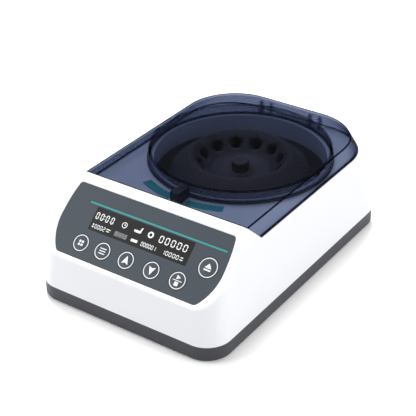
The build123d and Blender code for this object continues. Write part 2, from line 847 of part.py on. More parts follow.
def make_spindle():
    """Motor shaft with the rotor's seat and the threaded stud above it."""
    low = motor_bottom + can_wall + 0.5
    seat_top = dish_floor - 6
    return turned([
        (0, low), (spindle_radius, low), (spindle_radius, seat_height - 10), (seat_radius, seat_height - 8),
        (seat_radius, seat_top), (stud_radius, seat_top), (stud_radius, stud_top), (0, stud_top)])


def make_nut():
    """Fluted hand nut that clamps the rotor."""
    nut = post(0, axis_y, nut_bottom, nut_top, nut_radius)
    nut = fillet(nut.edges().filter_by_position(Axis.Z, nut_top - 0.01, nut_top + 0.01), 1.2)
    for _, x, y in ring_places(nut_flutes, nut_radius + 0.6):
        nut -= post(x, axis_y + y, nut_bottom + 2, nut_top + 1, 1.3)
    return nut - post(0, axis_y, nut_bottom - 1, stud_top + 0.5, stud_radius + nut_clearance)


def bearing_places():
    """Lower ends of the two motor bearings."""
    return motor_bottom + can_wall, plate_height - bearing_length - 1


def make_can():
    """Motor can: a cup with a seat for the lower bearing."""
    low, _ = bearing_places()
    return turned([
        (0, motor_bottom), (motor_radius, motor_bottom), (motor_radius, plate_height - 4),
        (motor_radius - can_wall, plate_height - 4), (motor_radius - can_wall, low),
        (bearing_radius + 2, low), (bearing_radius + 2, low + bearing_length),
        (bearing_radius, low + bearing_length), (bearing_radius, low), (0, low)])


def make_motor_cap():
    """Motor end cap with the upper bearing's seat."""
    _, low = bearing_places()
    inner = spindle_radius + 1
    return turned([
        (inner, plate_height), (inner, plate_height - 1), (bearing_radius, plate_height - 1),
        (bearing_radius, low), (bearing_radius + 2, low), (bearing_radius + 2, plate_height - 4),
        (motor_radius, plate_height - 4), (motor_radius, plate_height)])


def make_bearing(low):
    """One ball bearing, drawn as a ring."""
    return turned([
        (spindle_radius + bearing_clearance, low), (bearing_radius, low),
        (bearing_radius, low + bearing_length), (spindle_radius + bearing_clearance, low + bearing_length)])


def core_span():
    """Heights between which the motor's core and windings lie."""
    low, high = bearing_places()
    return low + bearing_length + 1, high - 1


def make_core():
    """Magnet core pressed on the spindle."""
    low, high = core_span()
    return turned([(spindle_radius, low), (core_radius, low), (core_radius, high), (spindle_radius, high)])


def make_stator():
    """Motor windings inside the can."""
    low, high = core_span()
    inner = core_radius + air_gap
    outer = motor_radius - can_wall
    return turned([(inner, low), (outer, low), (outer, high), (inner, high)])


def isolator_places():
    """Centres of the four rubber mounts."""
    return [(sx * isolator_spread / 2, axis_y + sy * isolator_spread / 2) for sx in (-1, 1) for sy in (-1, 1)]


def make_motor_plate():
    """Plate that carries the motor on four rubber mounts."""
    half = plate_size / 2
    plate = box(-half, half, axis_y - half, axis_y + half, plate_height, plate_top)
    plate = fillet(plate.edges().filter_by(Axis.Z), isolator_radius)
    plate -= post(0, axis_y, plate_height - 1, plate_top + 1, seat_radius + 1.5)
    for x, y in isolator_places():
        plate -= post(x, y, plate_height - 1, plate_top + 1, screw_radius + 0.1)
    return plate


def make_isolators():
    """Four rubber mounts between the tray's posts and the motor plate."""
    low = plate_height - isolator_height
    return [tube(x, y, low, plate_height, isolator_radius, screw_radius + 0.1) for x, y in isolator_places()]


def make_plate_screws():
    """Four screws down through the motor plate into the rubber mounts."""
    out = []
    for x, y in isolator_places():
        head = post(x, y, plate_top, plate_top + screw_head_height, screw_head_radius)
        out.append(head + post(x, y, plate_top - 9, plate_top, screw_radius))
    return out


def make_rear_panel():
    """Dark rear panel plate that carries the inlet and the power switch."""
    back = rear - rear_panel_depth
    half = rear_panel_width / 2 - panel_fit
    tall = rear_panel_height / 2 - panel_fit
    z = rear_panel_centre
    plate = box(-half, half, back - rear_panel_thickness, back, z - tall, z + tall)
    plate = fillet(plate.edges().filter_by(Axis.Y), 0.5)
    plate += box(-half, half, back - rear_panel_thickness - 1.5, back - rear_panel_thickness, z - tall - 2, z + tall)
    w, h = inlet_width / 2, inlet_height / 2 + drawer_height / 2 + 0.5
    plate -= box(inlet_place - w, inlet_place + w, back - 10, back + 1, z - h, z + h)
    w, h = rocker_width / 2 + frame_rim / 2, rocker_height / 2 + frame_rim / 2
    plate -= box(switch_place - w, switch_place + w, back - 10, back + 1, z - h, z + h)
    return plate


def make_inlet():
    """Mains inlet with a three-pin socket and a channel for the fuse drawer."""
    back = rear - rear_panel_depth
    z = rear_panel_centre
    w = inlet_width / 2
    h = inlet_height / 2 + drawer_height / 2 + 0.5
    face = back + inlet_flange
    body = box(inlet_place - w, inlet_place + w, face - inlet_depth, face, z - h, z + h)
    body += box(inlet_place - w - 1.5, inlet_place + w + 1.5, back, face, z - h - 1.5, z + h + 1.5)
    socket_z = z - drawer_height / 2 - 0.5
    sw, sh = 12.0, 8.0
    socket = box(inlet_place - sw, inlet_place + sw, face - socket_depth, face + 1, socket_z - sh, socket_z + sh)
    upper = socket.edges().filter_by(Axis.Y).sort_by(Axis.Z)[-2:]
    body -= chamfer(upper, 4.5)
    for dx, dz in ((-7.0, -1.5), (0.0, 2.0), (7.0, -1.5)):
        pin = box(inlet_place + dx - 1, inlet_place + dx + 1, face - socket_depth - 1, face - pin_recess,
                  socket_z + dz - 2, socket_z + dz + 2)
        body += pin
    dw, dz0 = drawer_width / 2 + drawer_gap, z + h - drawer_height - 1.0
    body -= box(inlet_place - dw, inlet_place + dw, face - drawer_depth - drawer_gap, face + 1,
                dz0 - drawer_gap, dz0 + drawer_height - 1 + drawer_gap)
    return body


def drawer_base():
    """Underside of the fuse drawer."""
    return rear_panel_centre + inlet_height / 2 - drawer_height / 2 - 0.5


def make_drawer():
    """Fuse drawer, open at the top for its fuse."""
    face = rear - rear_panel_depth + inlet_flange
    low = drawer_base()
    w = drawer_width / 2
    tall = drawer_height - 1
    body = box(inlet_place - w, inlet_place + w, face - drawer_depth, face, low, low + tall)
    room = fuse_radius + 0.1
    body -= rod_x(inlet_place - fuse_length / 2 - 0.1, inlet_place + fuse_length / 2 + 0.1,
                  face - drawer_depth / 2, low + tall / 2 + 0.01, min(room, tall / 2 - 0.3))
    return body


def make_fuse():
    """Glass tube fuse lying in the drawer."""
    face = rear - rear_panel_depth + inlet_flange
    tall = drawer_height - 1
    radius = min(fuse_radius, tall / 2 - 0.4)
    return rod_x(inlet_place - fuse_length / 2, inlet_place + fuse_length / 2,
                 face - drawer_depth / 2, drawer_base() + tall / 2, radius)


def make_switch_frame():
    """Frame and body of the power switch."""
    back = rear - rear_panel_depth
    z = rear_panel_centre
    w, h = rocker_width / 2, rocker_height / 2
    rim = frame_rim / 2
    frame = box(switch_place - w - frame_rim, switch_place + w + frame_rim, back, back + switch_lip,
                z - h - frame_rim, z + h + frame_rim)
    frame += box(switch_place - w - rim, switch_place + w + rim, back - switch_depth, back, z - h - rim, z + h + rim)
    frame -= box(switch_place - w, switch_place + w, back - switch_room, back + 2, z - h, z + h)
    return frame - rod_x(switch_place - w - rim, switch_place + w + rim, back - pivot_depth, z, pivot_radius)


def make_rocker():
    """Rocker of the power switch, turned to its off side."""
    back = rear - rear_panel_depth
    z = rear_panel_centre
    half = rocker_height / 2 - 0.7
    w = rocker_width / 2 - drawer_gap
    body = rod_x(switch_place - w, switch_place + w, back - rocker_radius + 2.2, z, rocker_radius)
    body &= box(-big, big, back - 8, back + 5, z - half, z + half)
    wings = box(switch_place - w, switch_place + w, back - 2.5, back + 1.0, z - half, z + half)
    body += wings
    body -= rod_x(-big / 2, big / 2, back + rocker_proud + rocker_hollow, z, rocker_hollow)
    body -= rod_x(switch_place - w - 1, switch_place + w + 1, back - pivot_depth, z, pivot_radius + pin_clearance)
    return rocker_turn(rocker_tilt / 2, body)


def rocker_turn(angle, body):
    """Turn a solid about the rocker's pivot."""
    pivot = Axis((switch_place, rear - rear_panel_depth - pivot_depth, rear_panel_centre), (1, 0, 0))
    return body.rotate(pivot, angle)


def make_pivot():
    """Steel pivot pin of the rocker."""
    w = rocker_width / 2 + frame_rim / 2
    y = rear - rear_panel_depth - pivot_depth
    return rod_x(switch_place - w, switch_place + w, y, rear_panel_centre, pivot_radius)


def make_power_board():
    """Power supply board on its posts in the tray."""
    x, y = power_board_place
    w, d = power_board_width / 2, power_board_length / 2
    z = power_board_bottom()
    return box(x - w, x + w, y - d, y + d, z, z + board_thickness)


def make_transformer():
    """Transformer on the power board."""
    x, y = power_board_place
    w, d, h = transformer_size
    z = power_board_bottom() + board_thickness
    return box(x - w, x, y - d / 2, y + d / 2, z, z + h)


def make_capacitors():
    """Two smoothing capacitors on the power board."""
    x, y = power_board_place
    z = power_board_bottom() + board_thickness
    step = capacitor_radius + 1.5
    x += capacitor_from_middle
    return [post(x, y + s * step, z, z + capacitor_height, capacitor_radius) for s in (-1, 1)]


def save(name, shape):
    """Write one node, whose separate solids stay separate."""
    solids = []
    for item in shape if isinstance(shape, list) else [shape]:
        solids.extend(item.solids())
    body = solids[0] if len(solids) == 1 else Compound(children=solids)
    export_step(body, f"parts/{name}.step")
    print(name, len(solids), round(sum(s.volume for s in solids)))


def main():
    os.makedirs("parts", exist_ok=True)
    low_bearing, high_bearing = bearing_places()
    nodes = {
        "base_tray": make_tray(),
        "rubber_feet": make_feet(),
        "base_screws": make_base_screws(),
        "upper_housing": make_shell(),
        "control_panel": make_panel(),
        "display_window": make_window(),
        "display_module": make_module(),
        "control_board": make_board(),
        "control_board_screws": make_board_screws(),
        "key_switches": make_switches(),
        "lid": make_lid(),
        "latch_striker": make_striker(),
        "hinge_pins": make_pins(),
        "hinge_brackets": make_brackets(),
        "hinge_springs": make_springs(),
        "latch_frame": make_latch_frame(),
        "latch_pawl": make_pawl(),
        "latch_solenoid": make_solenoid(),
        "chamber_collar": make_collar(),
        "lid_gasket": make_gasket(),
        "rotor_bowl": make_bowl(),
        "bowl_hangers": make_bowl_hangers(),
        "spindle_seal": make_seal(),
        "rotor": make_rotor(),
        "spindle": make_spindle(),
        "rotor_nut": make_nut(),
        "motor_can": make_can(),
        "motor_cap": make_motor_cap(),
        "motor_bearing_lower": make_bearing(low_bearing),
        "motor_bearing_upper": make_bearing(high_bearing),
        "motor_core": make_core(),
        "motor_windings": make_stator(),
        "motor_plate": make_motor_plate(),
        "motor_mounts": make_isolators(),
        "motor_plate_screws": make_plate_screws(),
        "rear_panel": make_rear_panel(),
        "mains_inlet": make_inlet(),
        "fuse_drawer": make_drawer(),
        "fuse": make_fuse(),
        "switch_frame": make_switch_frame(),
        "power_rocker": make_rocker(),
        "rocker_pivot": make_pivot(),
        "power_board": make_power_board(),
        "transformer": make_transformer(),
        "capacitors": make_capacitors(),
    }
    for name, x, down, diameter in key_list():
        nodes[name] = make_key(x, down, diameter)
    for name, shape in nodes.items():
        save(name, shape)


main()
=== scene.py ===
import json
import math

import bmesh
import bpy
from bpy.props import FloatProperty, FloatVectorProperty, PointerProperty
from mathutils import Matrix, Vector

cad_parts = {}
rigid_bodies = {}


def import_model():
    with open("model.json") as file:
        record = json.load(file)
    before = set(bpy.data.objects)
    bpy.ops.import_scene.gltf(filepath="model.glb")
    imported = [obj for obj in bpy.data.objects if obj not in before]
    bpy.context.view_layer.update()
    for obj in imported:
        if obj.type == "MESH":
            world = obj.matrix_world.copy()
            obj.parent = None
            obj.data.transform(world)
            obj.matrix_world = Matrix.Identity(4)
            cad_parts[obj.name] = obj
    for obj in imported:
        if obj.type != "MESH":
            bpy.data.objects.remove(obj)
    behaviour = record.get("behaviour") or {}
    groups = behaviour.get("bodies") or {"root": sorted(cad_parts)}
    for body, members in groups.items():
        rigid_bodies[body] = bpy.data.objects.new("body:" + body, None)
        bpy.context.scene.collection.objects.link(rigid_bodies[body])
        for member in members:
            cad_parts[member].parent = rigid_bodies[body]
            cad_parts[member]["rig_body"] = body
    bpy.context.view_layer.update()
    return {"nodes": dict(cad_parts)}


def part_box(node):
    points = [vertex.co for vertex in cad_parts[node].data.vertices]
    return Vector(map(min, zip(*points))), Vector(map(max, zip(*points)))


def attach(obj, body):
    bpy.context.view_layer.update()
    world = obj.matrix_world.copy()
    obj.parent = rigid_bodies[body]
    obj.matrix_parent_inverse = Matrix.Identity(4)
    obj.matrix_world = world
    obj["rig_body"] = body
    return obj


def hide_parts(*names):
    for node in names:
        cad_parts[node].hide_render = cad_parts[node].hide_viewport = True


bl_info = {
    "name": "Mini Centrifuge Builder",
    "version": (1, 0, 0),
    "blender": (4, 5, 0),
    "location": "View3D > Sidebar > Centrifuge",
    "description": "Builds the looks of a bench mini centrifuge round its packed model",
    "category": "Add Mesh",
}

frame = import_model()

MM = 0.001

# The rotor turns about this upright line, in metres
AXIS_Y = 0.041

# The sloping control panel: a place on its top edge, and its tilt
PANEL_ANGLE = math.radians(40.84)
PANEL_ORIGIN = Vector((0.0, -0.086, 0.0931))
PANEL_TURN = Matrix.Rotation(PANEL_ANGLE, 4, "X")
PANEL_PLACE = Matrix.Translation(PANEL_ORIGIN) @ PANEL_TURN

# How far printed marks stand proud of the surface that carries them, and reach into it, in millimetres
PRINT_DEPTH = 0.06
PRINT_ROOT = 0.01

# Share of the teal ink's red, green, blue and alpha that shows through the panel's film
FILM_SHADE = (0.6, 0.69, 0.76, 1.0)

# Height of the ledge under the lid, in millimetres
LEDGE_HEIGHT = 83.1

# The lid's moulded edges, where painted shade darkens the sheet, as bands of height, and its ring wall as
# bands of height and radius about the rotor's axis, in millimetres
LID_TOP_EDGE = (96.0, 97.2)
LID_LOWER_RIM = (83.3, 83.75)
RING_ROOT = (93.9, 94.75)
RING_RIM = (85.3, 86.1)
RING_HEIGHTS = (85.0, 94.75)
RING_RADII = (80.0, 85.0)

# The painted shade line inside the lid's outline, a dark rod for the shade at its rounded edge, in
# millimetres:
# how far it lies below the top and inside the edge, and its radius
EDGE_LINE_DROP = 0.85
EDGE_LINE_INSET = 0.75
EDGE_LINE_RADIUS = 0.42

# The polished sheet mirrors this share head on, and more with this power of how far it turns away
FACE_ON_MIRROR = 0.04
MIRROR_POWER = 5.0

# The rocker of the switch, in millimetres: the radius of its hollow faces, how far they lie outside the
# pivot, how far the marks lie from its middle, how far it is turned at rest, and the marks' depths
ROCKER_HOLLOW = 22.4
ROCKER_FACE = 4.2
ROCKER_MARK = 5.2
ROCKER_REST = math.radians(5.0)
ROCKER_PRINT = (-0.1, 0.08)

# The keys, and how far inside its edge each one's printed ring runs, in millimetres
KEYS = ("key_program", "key_menu", "key_up", "key_down", "key_start", "key_open")
RING_INSET = 0.8

# The keys' symbols are drawn for a key of this radius, and scaled to the others, in millimetres
SYMBOL_KEY_RADIUS = 8.1

# Radii of a foot and its stem, and of a tray screw's head and the crest and root of its thread, in
# millimetres
FOOT_RADIUS = 9.0
FOOT_STEM_RADIUS = 2.95
SCREW_HEAD_RADIUS = 3.6
SCREW_CREST_RADIUS = 1.9
SCREW_ROOT_RADIUS = 1.6

# The camera that was fitted to the photograph: where it stands, in metres, and its three directions
CAMERA_SPOT = (0.51308, -0.74386, 0.60235)
CAMERA_RIGHT = (0.82298, 0.56796, -0.01136)
CAMERA_UP = (-0.2887, 0.43538, 0.8527)
CAMERA_BACK = (0.48924, -0.69847, 0.52228)

# The lamps: name, place and side in metres, and the setting that holds the power
LAMPS = (
    ("key_lamp", (2.1, -0.1, 0.85), 1.3, "key_power"),
    ("fill_lamp", (-1.5, -1.5, 0.9), 1.3, "fill_power"),
    ("top_lamp", (-0.7, 0.7, 2.0), 1.0, "top_power"),
)

# The floor reaches this far from its middle, in metres
FLOOR_REACH = 6.0

WHITE = (1.0, 1.0, 1.0, 1.0)


def panel_spot(node):
    """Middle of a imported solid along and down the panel, and its greatest half width, in metres."""
    inverse = PANEL_PLACE.inverted()
    corners = [inverse @ vertex.co for vertex in frame["nodes"][node].data.vertices]
    xs = [corner.x for corner in corners]
    ys = [corner.y for corner in corners]
    return (min(xs) + max(xs)) / 2, (min(ys) + max(ys)) / 2, (max(xs) - min(xs)) / 2


# Colours and nodes

def linear(hex_text):
    """A linear colour with full alpha from an sRGB hex value."""
    channels = []
    for start in (0, 2, 4):
        value = int(hex_text[start:start + 2], 16) / 255
        if value <= 0.04045:
            channels.append(value / 12.92)
        else:
            channels.append(((value + 0.055) / 1.055) ** 2.4)
    return (*channels, 1.0)


def add_node(tree, kind, inputs=None, **settings):
    """Add one node, with its settings, and its inputs given as values, as sockets to link, or as nodes
    whose first output is linked."""
    node = tree.nodes.new(kind)
    for name, value in settings.items():
        setattr(node, name, value)
    for name, value in (inputs or {}).items():
        if isinstance(value, bpy.types.Node):
            value = value.outputs[0]
        if isinstance(value, bpy.types.NodeSocket):
            tree.links.new(value, node.inputs[name])
        else:
            node.inputs[name].default_value = value
    return node


def new_material(name):
    """An empty material, its tree and its output node."""
    material = bpy.data.materials.new(name)
    material.use_nodes = True
    tree = material.node_tree
    tree.nodes.clear()
    return material, tree, add_node(tree, "ShaderNodeOutputMaterial")


def scatter(tree, place, size, detail=2.0, stretch=(1.0, 1.0, 1.0)):
    """Noise of a real size in millimetres on Object coordinates, stretched along the axes."""
    moved = add_node(tree, "ShaderNodeMapping", {"Vector": place, "Scale": stretch})
    inputs = {"Vector": moved, "Scale": 1 / (size * MM), "Detail": detail}
    return add_node(tree, "ShaderNodeTexNoise", inputs).outputs["Fac"]


def rings(tree, pitch):
    """Fine rings about the rotor's axis, a pitch in millimetres apart."""
    place = add_node(tree, "ShaderNodeTexCoord").outputs["Object"]
    moved = add_node(tree, "ShaderNodeMapping", {"Vector": place, "Location": (0.0, -AXIS_Y, 0.0)})
    inputs = {"Vector": moved, "Scale": math.pi / 10 / (pitch * MM), "Distortion": 0.0}
    wave = add_node(tree, "ShaderNodeTexWave", inputs, wave_type="RINGS", rings_direction="Z")
    return wave.outputs["Fac"]


def bands(tree, pitch, direction):
    """Straight bands across one axis, a pitch in millimetres apart."""
    place = add_node(tree, "ShaderNodeTexCoord").outputs["Object"]
    inputs = {"Vector": place, "Scale": math.pi / 10 / (pitch * MM)}
    return add_node(tree, "ShaderNodeTexWave", inputs, bands_direction=direction).outputs["Fac"]


def solid_finish(name, colour, roughness, grain, depth, metallic=0.0, ior=1.5, mottle=0.05,
                 stretch=(1.0, 1.0, 1.0), marks=None, mark_depth=0.0, coat=0.0):
    """An opaque finish: grain of a real size and depth in millimetres, a faint unevenness of colour
    and gloss over some centimetres, and machining or winding marks where it has them."""
    material, tree, output = new_material(name)
    place = add_node(tree, "ShaderNodeTexCoord").outputs["Object"]
    grain_value = scatter(tree, place, grain, 3.0, stretch)
    cloud = scatter(tree, place, 28.0)
    darker = (*[channel * (1 - mottle) for channel in colour[:3]], 1.0)
    lighter = (*[min(1.0, channel * (1 + mottle)) for channel in colour[:3]], 1.0)
    mixed = add_node(tree, "ShaderNodeMix", {0: cloud, 6: darker, 7: lighter}, data_type="RGBA")
    gloss = add_node(tree, "ShaderNodeMapRange", {
        "Value": cloud, "To Min": roughness * 0.85, "To Max": min(1.0, roughness * 1.15)})
    bump = add_node(tree, "ShaderNodeBump", {"Height": grain_value, "Distance": depth * MM})
    if marks is not None:
        bump = add_node(tree, "ShaderNodeBump", {
            "Height": marks(tree), "Distance": mark_depth * MM, "Normal": bump})
    inputs = {
        "Base Color": mixed.outputs[2],
        "Roughness": gloss,
        "Metallic": metallic,
        "IOR": ior,
        "Coat Weight": coat,
        "Normal": bump,
    }
    shader = add_node(tree, "ShaderNodeBsdfPrincipled", inputs)
    tree.links.new(shader.outputs["BSDF"], output.inputs["Surface"])
    return material


def lid_edge_shade_and_ring_wall(tree):
    """One on the lid's rounded top edge, on its lower rim, and at the root and the rim of its ring wall,
    where painted shade darkens the sheet; and one on the ring wall."""
    place = add_node(tree, "ShaderNodeTexCoord").outputs["Object"]
    parts = add_node(tree, "ShaderNodeSeparateXYZ", {"Vector": place})
    x, y, z = (parts.outputs[axis] for axis in "XYZ")
    along = add_node(tree, "ShaderNodeMath", {0: y, 1: AXIS_Y}, operation="SUBTRACT")
    across = add_node(tree, "ShaderNodeMath", {0: x, 1: x}, operation="MULTIPLY")
    square = add_node(tree, "ShaderNodeMath", {0: along, 1: along, 2: across}, operation="MULTIPLY_ADD")
    radius = add_node(tree, "ShaderNodeMath", {0: square}, operation="SQRT")
    measures = ((z, LID_TOP_EDGE), (z, LID_LOWER_RIM), (z, RING_ROOT), (z, RING_RIM), (z, RING_HEIGHTS),
                (radius, RING_RADII))
    bands_met = []
    for measure, (low, high) in measures:
        inputs = {0: measure, 1: (low + high) / 2 * MM, 2: (high - low) / 2 * MM}
        bands_met.append(add_node(tree, "ShaderNodeMath", inputs, operation="COMPARE"))
    top, lower, root, rim, tall, wall = bands_met
    shell_ends = add_node(tree, "ShaderNodeMath", {0: top, 1: lower}, operation="MAXIMUM")
    ring_ends = add_node(tree, "ShaderNodeMath", {0: root, 1: rim}, operation="MAXIMUM")
    wall_ends = add_node(tree, "ShaderNodeMath", {0: wall, 1: ring_ends}, operation="MULTIPLY")
    edges = add_node(tree, "ShaderNodeMath", {0: shell_ends, 1: wall_ends}, operation="MAXIMUM")
    return edges, add_node(tree, "ShaderNodeMath", {0: wall, 1: tall}, operation="MULTIPLY")


def smoked_polycarbonate(lid):
    """Smoke-blue polycarbonate sheet: tinted all through, so an edge or a slanted wall, where light runs
    further inside it, looks darker; its outer face is polished and mirrors the room more at a slant.
    Its moulded edges bend the light away; that shade is painted, as a dark share of the light that they let
    through and no polish on them."""
    material, tree, output = new_material("Smoked polycarbonate")
    edges, ring = lid_edge_shade_and_ring_wall(tree)
    # Painted shade: the moulded edges pass only the dark edge share of the light, for the light that they
    # bend away
    edge = add_node(tree, "ShaderNodeMix", {0: edges, 6: WHITE, 7: (*lid.edge, 1.0)}, data_type="RGBA")
    clear = add_node(tree, "ShaderNodeBsdfTransparent", {"Color": edge.outputs[2]})
    polish = add_node(tree, "ShaderNodeBsdfPrincipled", {
        "Base Color": linear("10141C"), "Roughness": 0.06, "IOR": 1.58})
    haze = add_node(tree, "ShaderNodeBsdfDiffuse", {"Color": linear("B8BDD4")})
    away = add_node(tree, "ShaderNodeLayerWeight", {"Blend": 0.5}).outputs["Facing"]
    steep = add_node(tree, "ShaderNodeMath", {0: away, 1: MIRROR_POWER}, operation="POWER")
    mirror = add_node(tree, "ShaderNodeMath", {
        0: steep, 1: lid.gleam, 2: FACE_ON_MIRROR}, operation="MULTIPLY_ADD")
    inside = add_node(tree, "ShaderNodeNewGeometry").outputs["Backfacing"]
    dull = add_node(tree, "ShaderNodeMath", {0: inside, 1: edges}, operation="MAXIMUM")
    outer = add_node(tree, "ShaderNodeMath", {0: 1.0, 1: dull}, operation="SUBTRACT")
    gloss = add_node(tree, "ShaderNodeMath", {0: mirror, 1: outer}, operation="MULTIPLY")
    mixed = add_node(tree, "ShaderNodeMixShader", {0: gloss, 1: clear, 2: polish})
    # The ring wall is left as it comes from the mould, faintly milky
    milky = add_node(tree, "ShaderNodeMath", {0: ring, 1: lid.haze}, operation="MULTIPLY")
    milky_outside = add_node(tree, "ShaderNodeMath", {0: milky, 1: outer}, operation="MULTIPLY")
    clouded = add_node(tree, "ShaderNodeMixShader", {0: milky_outside, 1: mixed, 2: haze})
    tree.links.new(clouded.outputs["Shader"], output.inputs["Surface"])
    # What one millimetre takes from red, green and blue light, as one density and a colour that stays
    # above black
    losses = [-math.log(channel) / MM for channel in lid.tint]
    most = 1.25 * max(losses)
    colour = [1 - loss / most for loss in losses]
    depth = add_node(tree, "ShaderNodeVolumeAbsorption", {"Color": (*colour, 1.0), "Density": most})
    tree.links.new(depth.outputs["Volume"], output.inputs["Volume"])
    return material


def build_materials(settings):
    """Every finish, named for what it is made of: colour, roughness, and size and depth of the grain."""
    housing = settings.housing
    panel = settings.panel
    lid = settings.lid
    finishes = {
        # Moulded ABS with a fine spark-eroded grain: soft highlights, almost no mirror
        "white_abs": solid_finish("White ABS", housing.white, 0.42, 0.7, 0.006, mottle=0.012),
        # The same moulding in dark grey, a coarser grain
        "grey_abs": solid_finish("Graphite ABS", housing.grey, 0.52, 0.9, 0.012, ior=1.33, mottle=0.05),
        # Second-surface printed polyester on a plate: even, satin, a very fine emboss
        "panel_film": solid_finish("Embossed polyester film", panel.film, 0.45, 0.45, 0.004, ior=1.3,
                                   mottle=0.02),
        # Cast acrylic over the display: black and polished
        "black_acrylic": solid_finish("Black acrylic", linear("171719"), 0.30, 3.0, 0.001, ior=1.33),
        # Lit display segments
        "display_white": solid_finish("Display segments", linear("F4F6F6"), 0.45, 1.0, 0.001, mottle=0.01),
        "display_grey": solid_finish("Dim display segments", linear("B4B6B8"), 0.45, 1.0, 0.001, mottle=0.01),
        # Screen printing: flat, opaque ink with a slight orange peel
        "white_ink": solid_finish("White screen ink", linear("E9ECEE"), 0.5, 0.8, 0.003, mottle=0.02),
        "teal_ink": solid_finish("Teal screen ink", panel.teal, 0.5, 0.8, 0.003, mottle=0.03),
        # The same ink as it looks through the panel's film, which takes up part of its light
        "teal_under_film": solid_finish("Teal ink under film", [*map(math.prod, zip(panel.teal, FILM_SHADE))],
                                        0.5, 0.8, 0.003, mottle=0.03),
        # Extruded EPDM rubber: dull, slightly dusty black
        "rubber": solid_finish("EPDM rubber", linear("1A1A1C"), 0.78, 0.6, 0.02, mottle=0.12),
        # Moulded silicone of the lid seal: a soft dark grey
        "silicone": solid_finish("Grey silicone", linear("3E4047"), 0.6, 0.6, 0.01, mottle=0.06),
        # Glass-filled PBT: hard black with a faint grain
        "black_pbt": solid_finish("Black PBT", linear("17171A"), 0.40, 0.6, 0.008, mottle=0.08),
        # Pale polypropylene of the chamber collar, waxy
        "pale_pp": solid_finish("Pale polypropylene", linear("E4E7EE"), 0.45, 0.9, 0.006, mottle=0.02),
        # Deep-drawn sheet with dark paint
        "bowl_paint": solid_finish("Dark painted aluminium", linear("8E8C92"), 0.45, 0.5, 0.01, mottle=0.08),
        # Turned and hard-anodised aluminium: dark satin, its lathe rings drawn coarse, 0.9 mm apart, to show
        "dark_anodised": solid_finish(
            "Hard-anodised aluminium", linear("484144"), 0.55, 0.4, 0.004, metallic=0.35,
            marks=lambda tree: rings(tree, 0.9), mark_depth=0.012),
        # Turned aluminium, bare: bright with fine lathe rings
        "turned_aluminium": solid_finish(
            "Turned aluminium", linear("C4C6CA"), 0.26, 0.4, 0.004, metallic=1.0,
            marks=lambda tree: rings(tree, 0.6), mark_depth=0.01),
        # Zinc-plated pressed steel: grey with a fine spangle
        "zinc_steel": solid_finish("Zinc-plated steel", linear("A9ACB0"), 0.34, 0.8, 0.006, metallic=1.0,
                                   mottle=0.12),
        # Ground steel: bright, drawn along X
        "ground_steel": solid_finish("Ground steel", linear("BFC1C4"), 0.22, 0.5, 0.004, metallic=1.0,
                                     stretch=(0.08, 1.0, 1.0)),
        # Enamelled copper wire, wound in turns 0.8 mm apart
        "copper_wire": solid_finish("Enamelled copper wire", linear("A6542C"), 0.3, 0.5, 0.004, metallic=0.9,
                                    marks=lambda tree: bands(tree, 0.8, "Z"), mark_depth=0.3),
        # Stacked core plates of 0.5 mm, drawn 1 mm apart to show
        "core_steel": solid_finish("Stacked core steel", linear("4A4B4F"), 0.5, 0.6, 0.01, metallic=0.7,
                                   marks=lambda tree: bands(tree, 1.0, "Z"), mark_depth=0.1),
        # Glass-epoxy board under green solder mask: the weave is about 0.5 mm, drawn at 1 mm
        "board_green": solid_finish("Green solder mask", linear("12502C"), 0.32, 1.0, 0.01, mottle=0.10,
                                    coat=0.3),
        # Heat-shrunk sleeve of a capacitor
        "capacitor_sleeve": solid_finish("Shrunk PVC sleeve", linear("1B1C22"), 0.3, 1.2, 0.004, mottle=0.05),
        # Polished rocker of the switch
        "rocker_black": solid_finish("Polished black polycarbonate", linear("121214"), 0.22, 1.2, 0.002,
                                     mottle=0.04),
        # Glass tube of the fuse, frosted by its ceramic filling
        "clear_glass": solid_finish("Sand-filled glass", linear("C8CCD0"), 0.15, 0.8, 0.002, mottle=0.05),
        "smoked": smoked_polycarbonate(lid),
        # Painted shade: a dark rod just inside the lid's outline stands in for the dark line that its rounded
        # edge shows where it bends the light away
        "smoked_painted_edge_shade": solid_finish("Smoked polycarbonate edge", linear("262A37"), 0.5, 1.0, 0.001,
                                    mottle=0.02),
    }
    return finishes


# The finishes by name, filled by the operator that makes them
FINISHES = {}


# Meshes and pieces

def in_scene(name, data):
    """Put a mesh, a lamp or a camera in the scene as an object."""
    item = bpy.data.objects.new(name, data)
    bpy.context.scene.collection.objects.link(item)
    return item


def settled_mesh(item):
    """The mesh of an object with its modifiers applied. The object is removed."""
    graph = bpy.context.evaluated_depsgraph_get()
    mesh = bpy.data.meshes.new_from_object(item.evaluated_get(graph))
    bpy.data.objects.remove(item)
    return mesh


def new_piece(name, mesh, material, body, sharp=32.0):
    """Link a finished mesh as a piece that rides on a body and takes its finish."""
    piece = in_scene(name, mesh)
    mesh.materials.clear()
    mesh.materials.append(material)
    if not mesh.has_custom_normals:
        mesh.shade_smooth()
        mesh.set_sharp_from_angle(angle=math.radians(sharp))
    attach(piece, body)
    return piece


def mesh_of(name, form, place=None):
    """A plain mesh from a bmesh, put in its place, with its faces pointing outwards."""
    bmesh.ops.remove_doubles(form, verts=form.verts, dist=1e-7)
    bmesh.ops.recalc_face_normals(form, faces=form.faces)
    mesh = bpy.data.meshes.new(name)
    form.to_mesh(mesh)
    form.free()
    if place is not None:
        mesh.transform(place)
    return mesh


def add_prism(form, outline, low, high, rim=0.0):
    """Add a closed prism over an outline, with a small bevel round its upper rim. Sizes in metres."""
    count = len(outline)
    lower = [form.verts.new((x, y, low)) for x, y in outline]
    upper = [form.verts.new((x, y, high)) for x, y in outline]
    form.faces.new(list(reversed(lower)))
    lid = form.faces.new(upper)
    for index in range(count):
        after = (index + 1) % count
        form.faces.new((lower[index], lower[after], upper[after], upper[index]))
    if rim:
        bmesh.ops.bevel(form, geom=list(lid.edges), offset=rim, segments=2, profile=0.6, affect="EDGES")


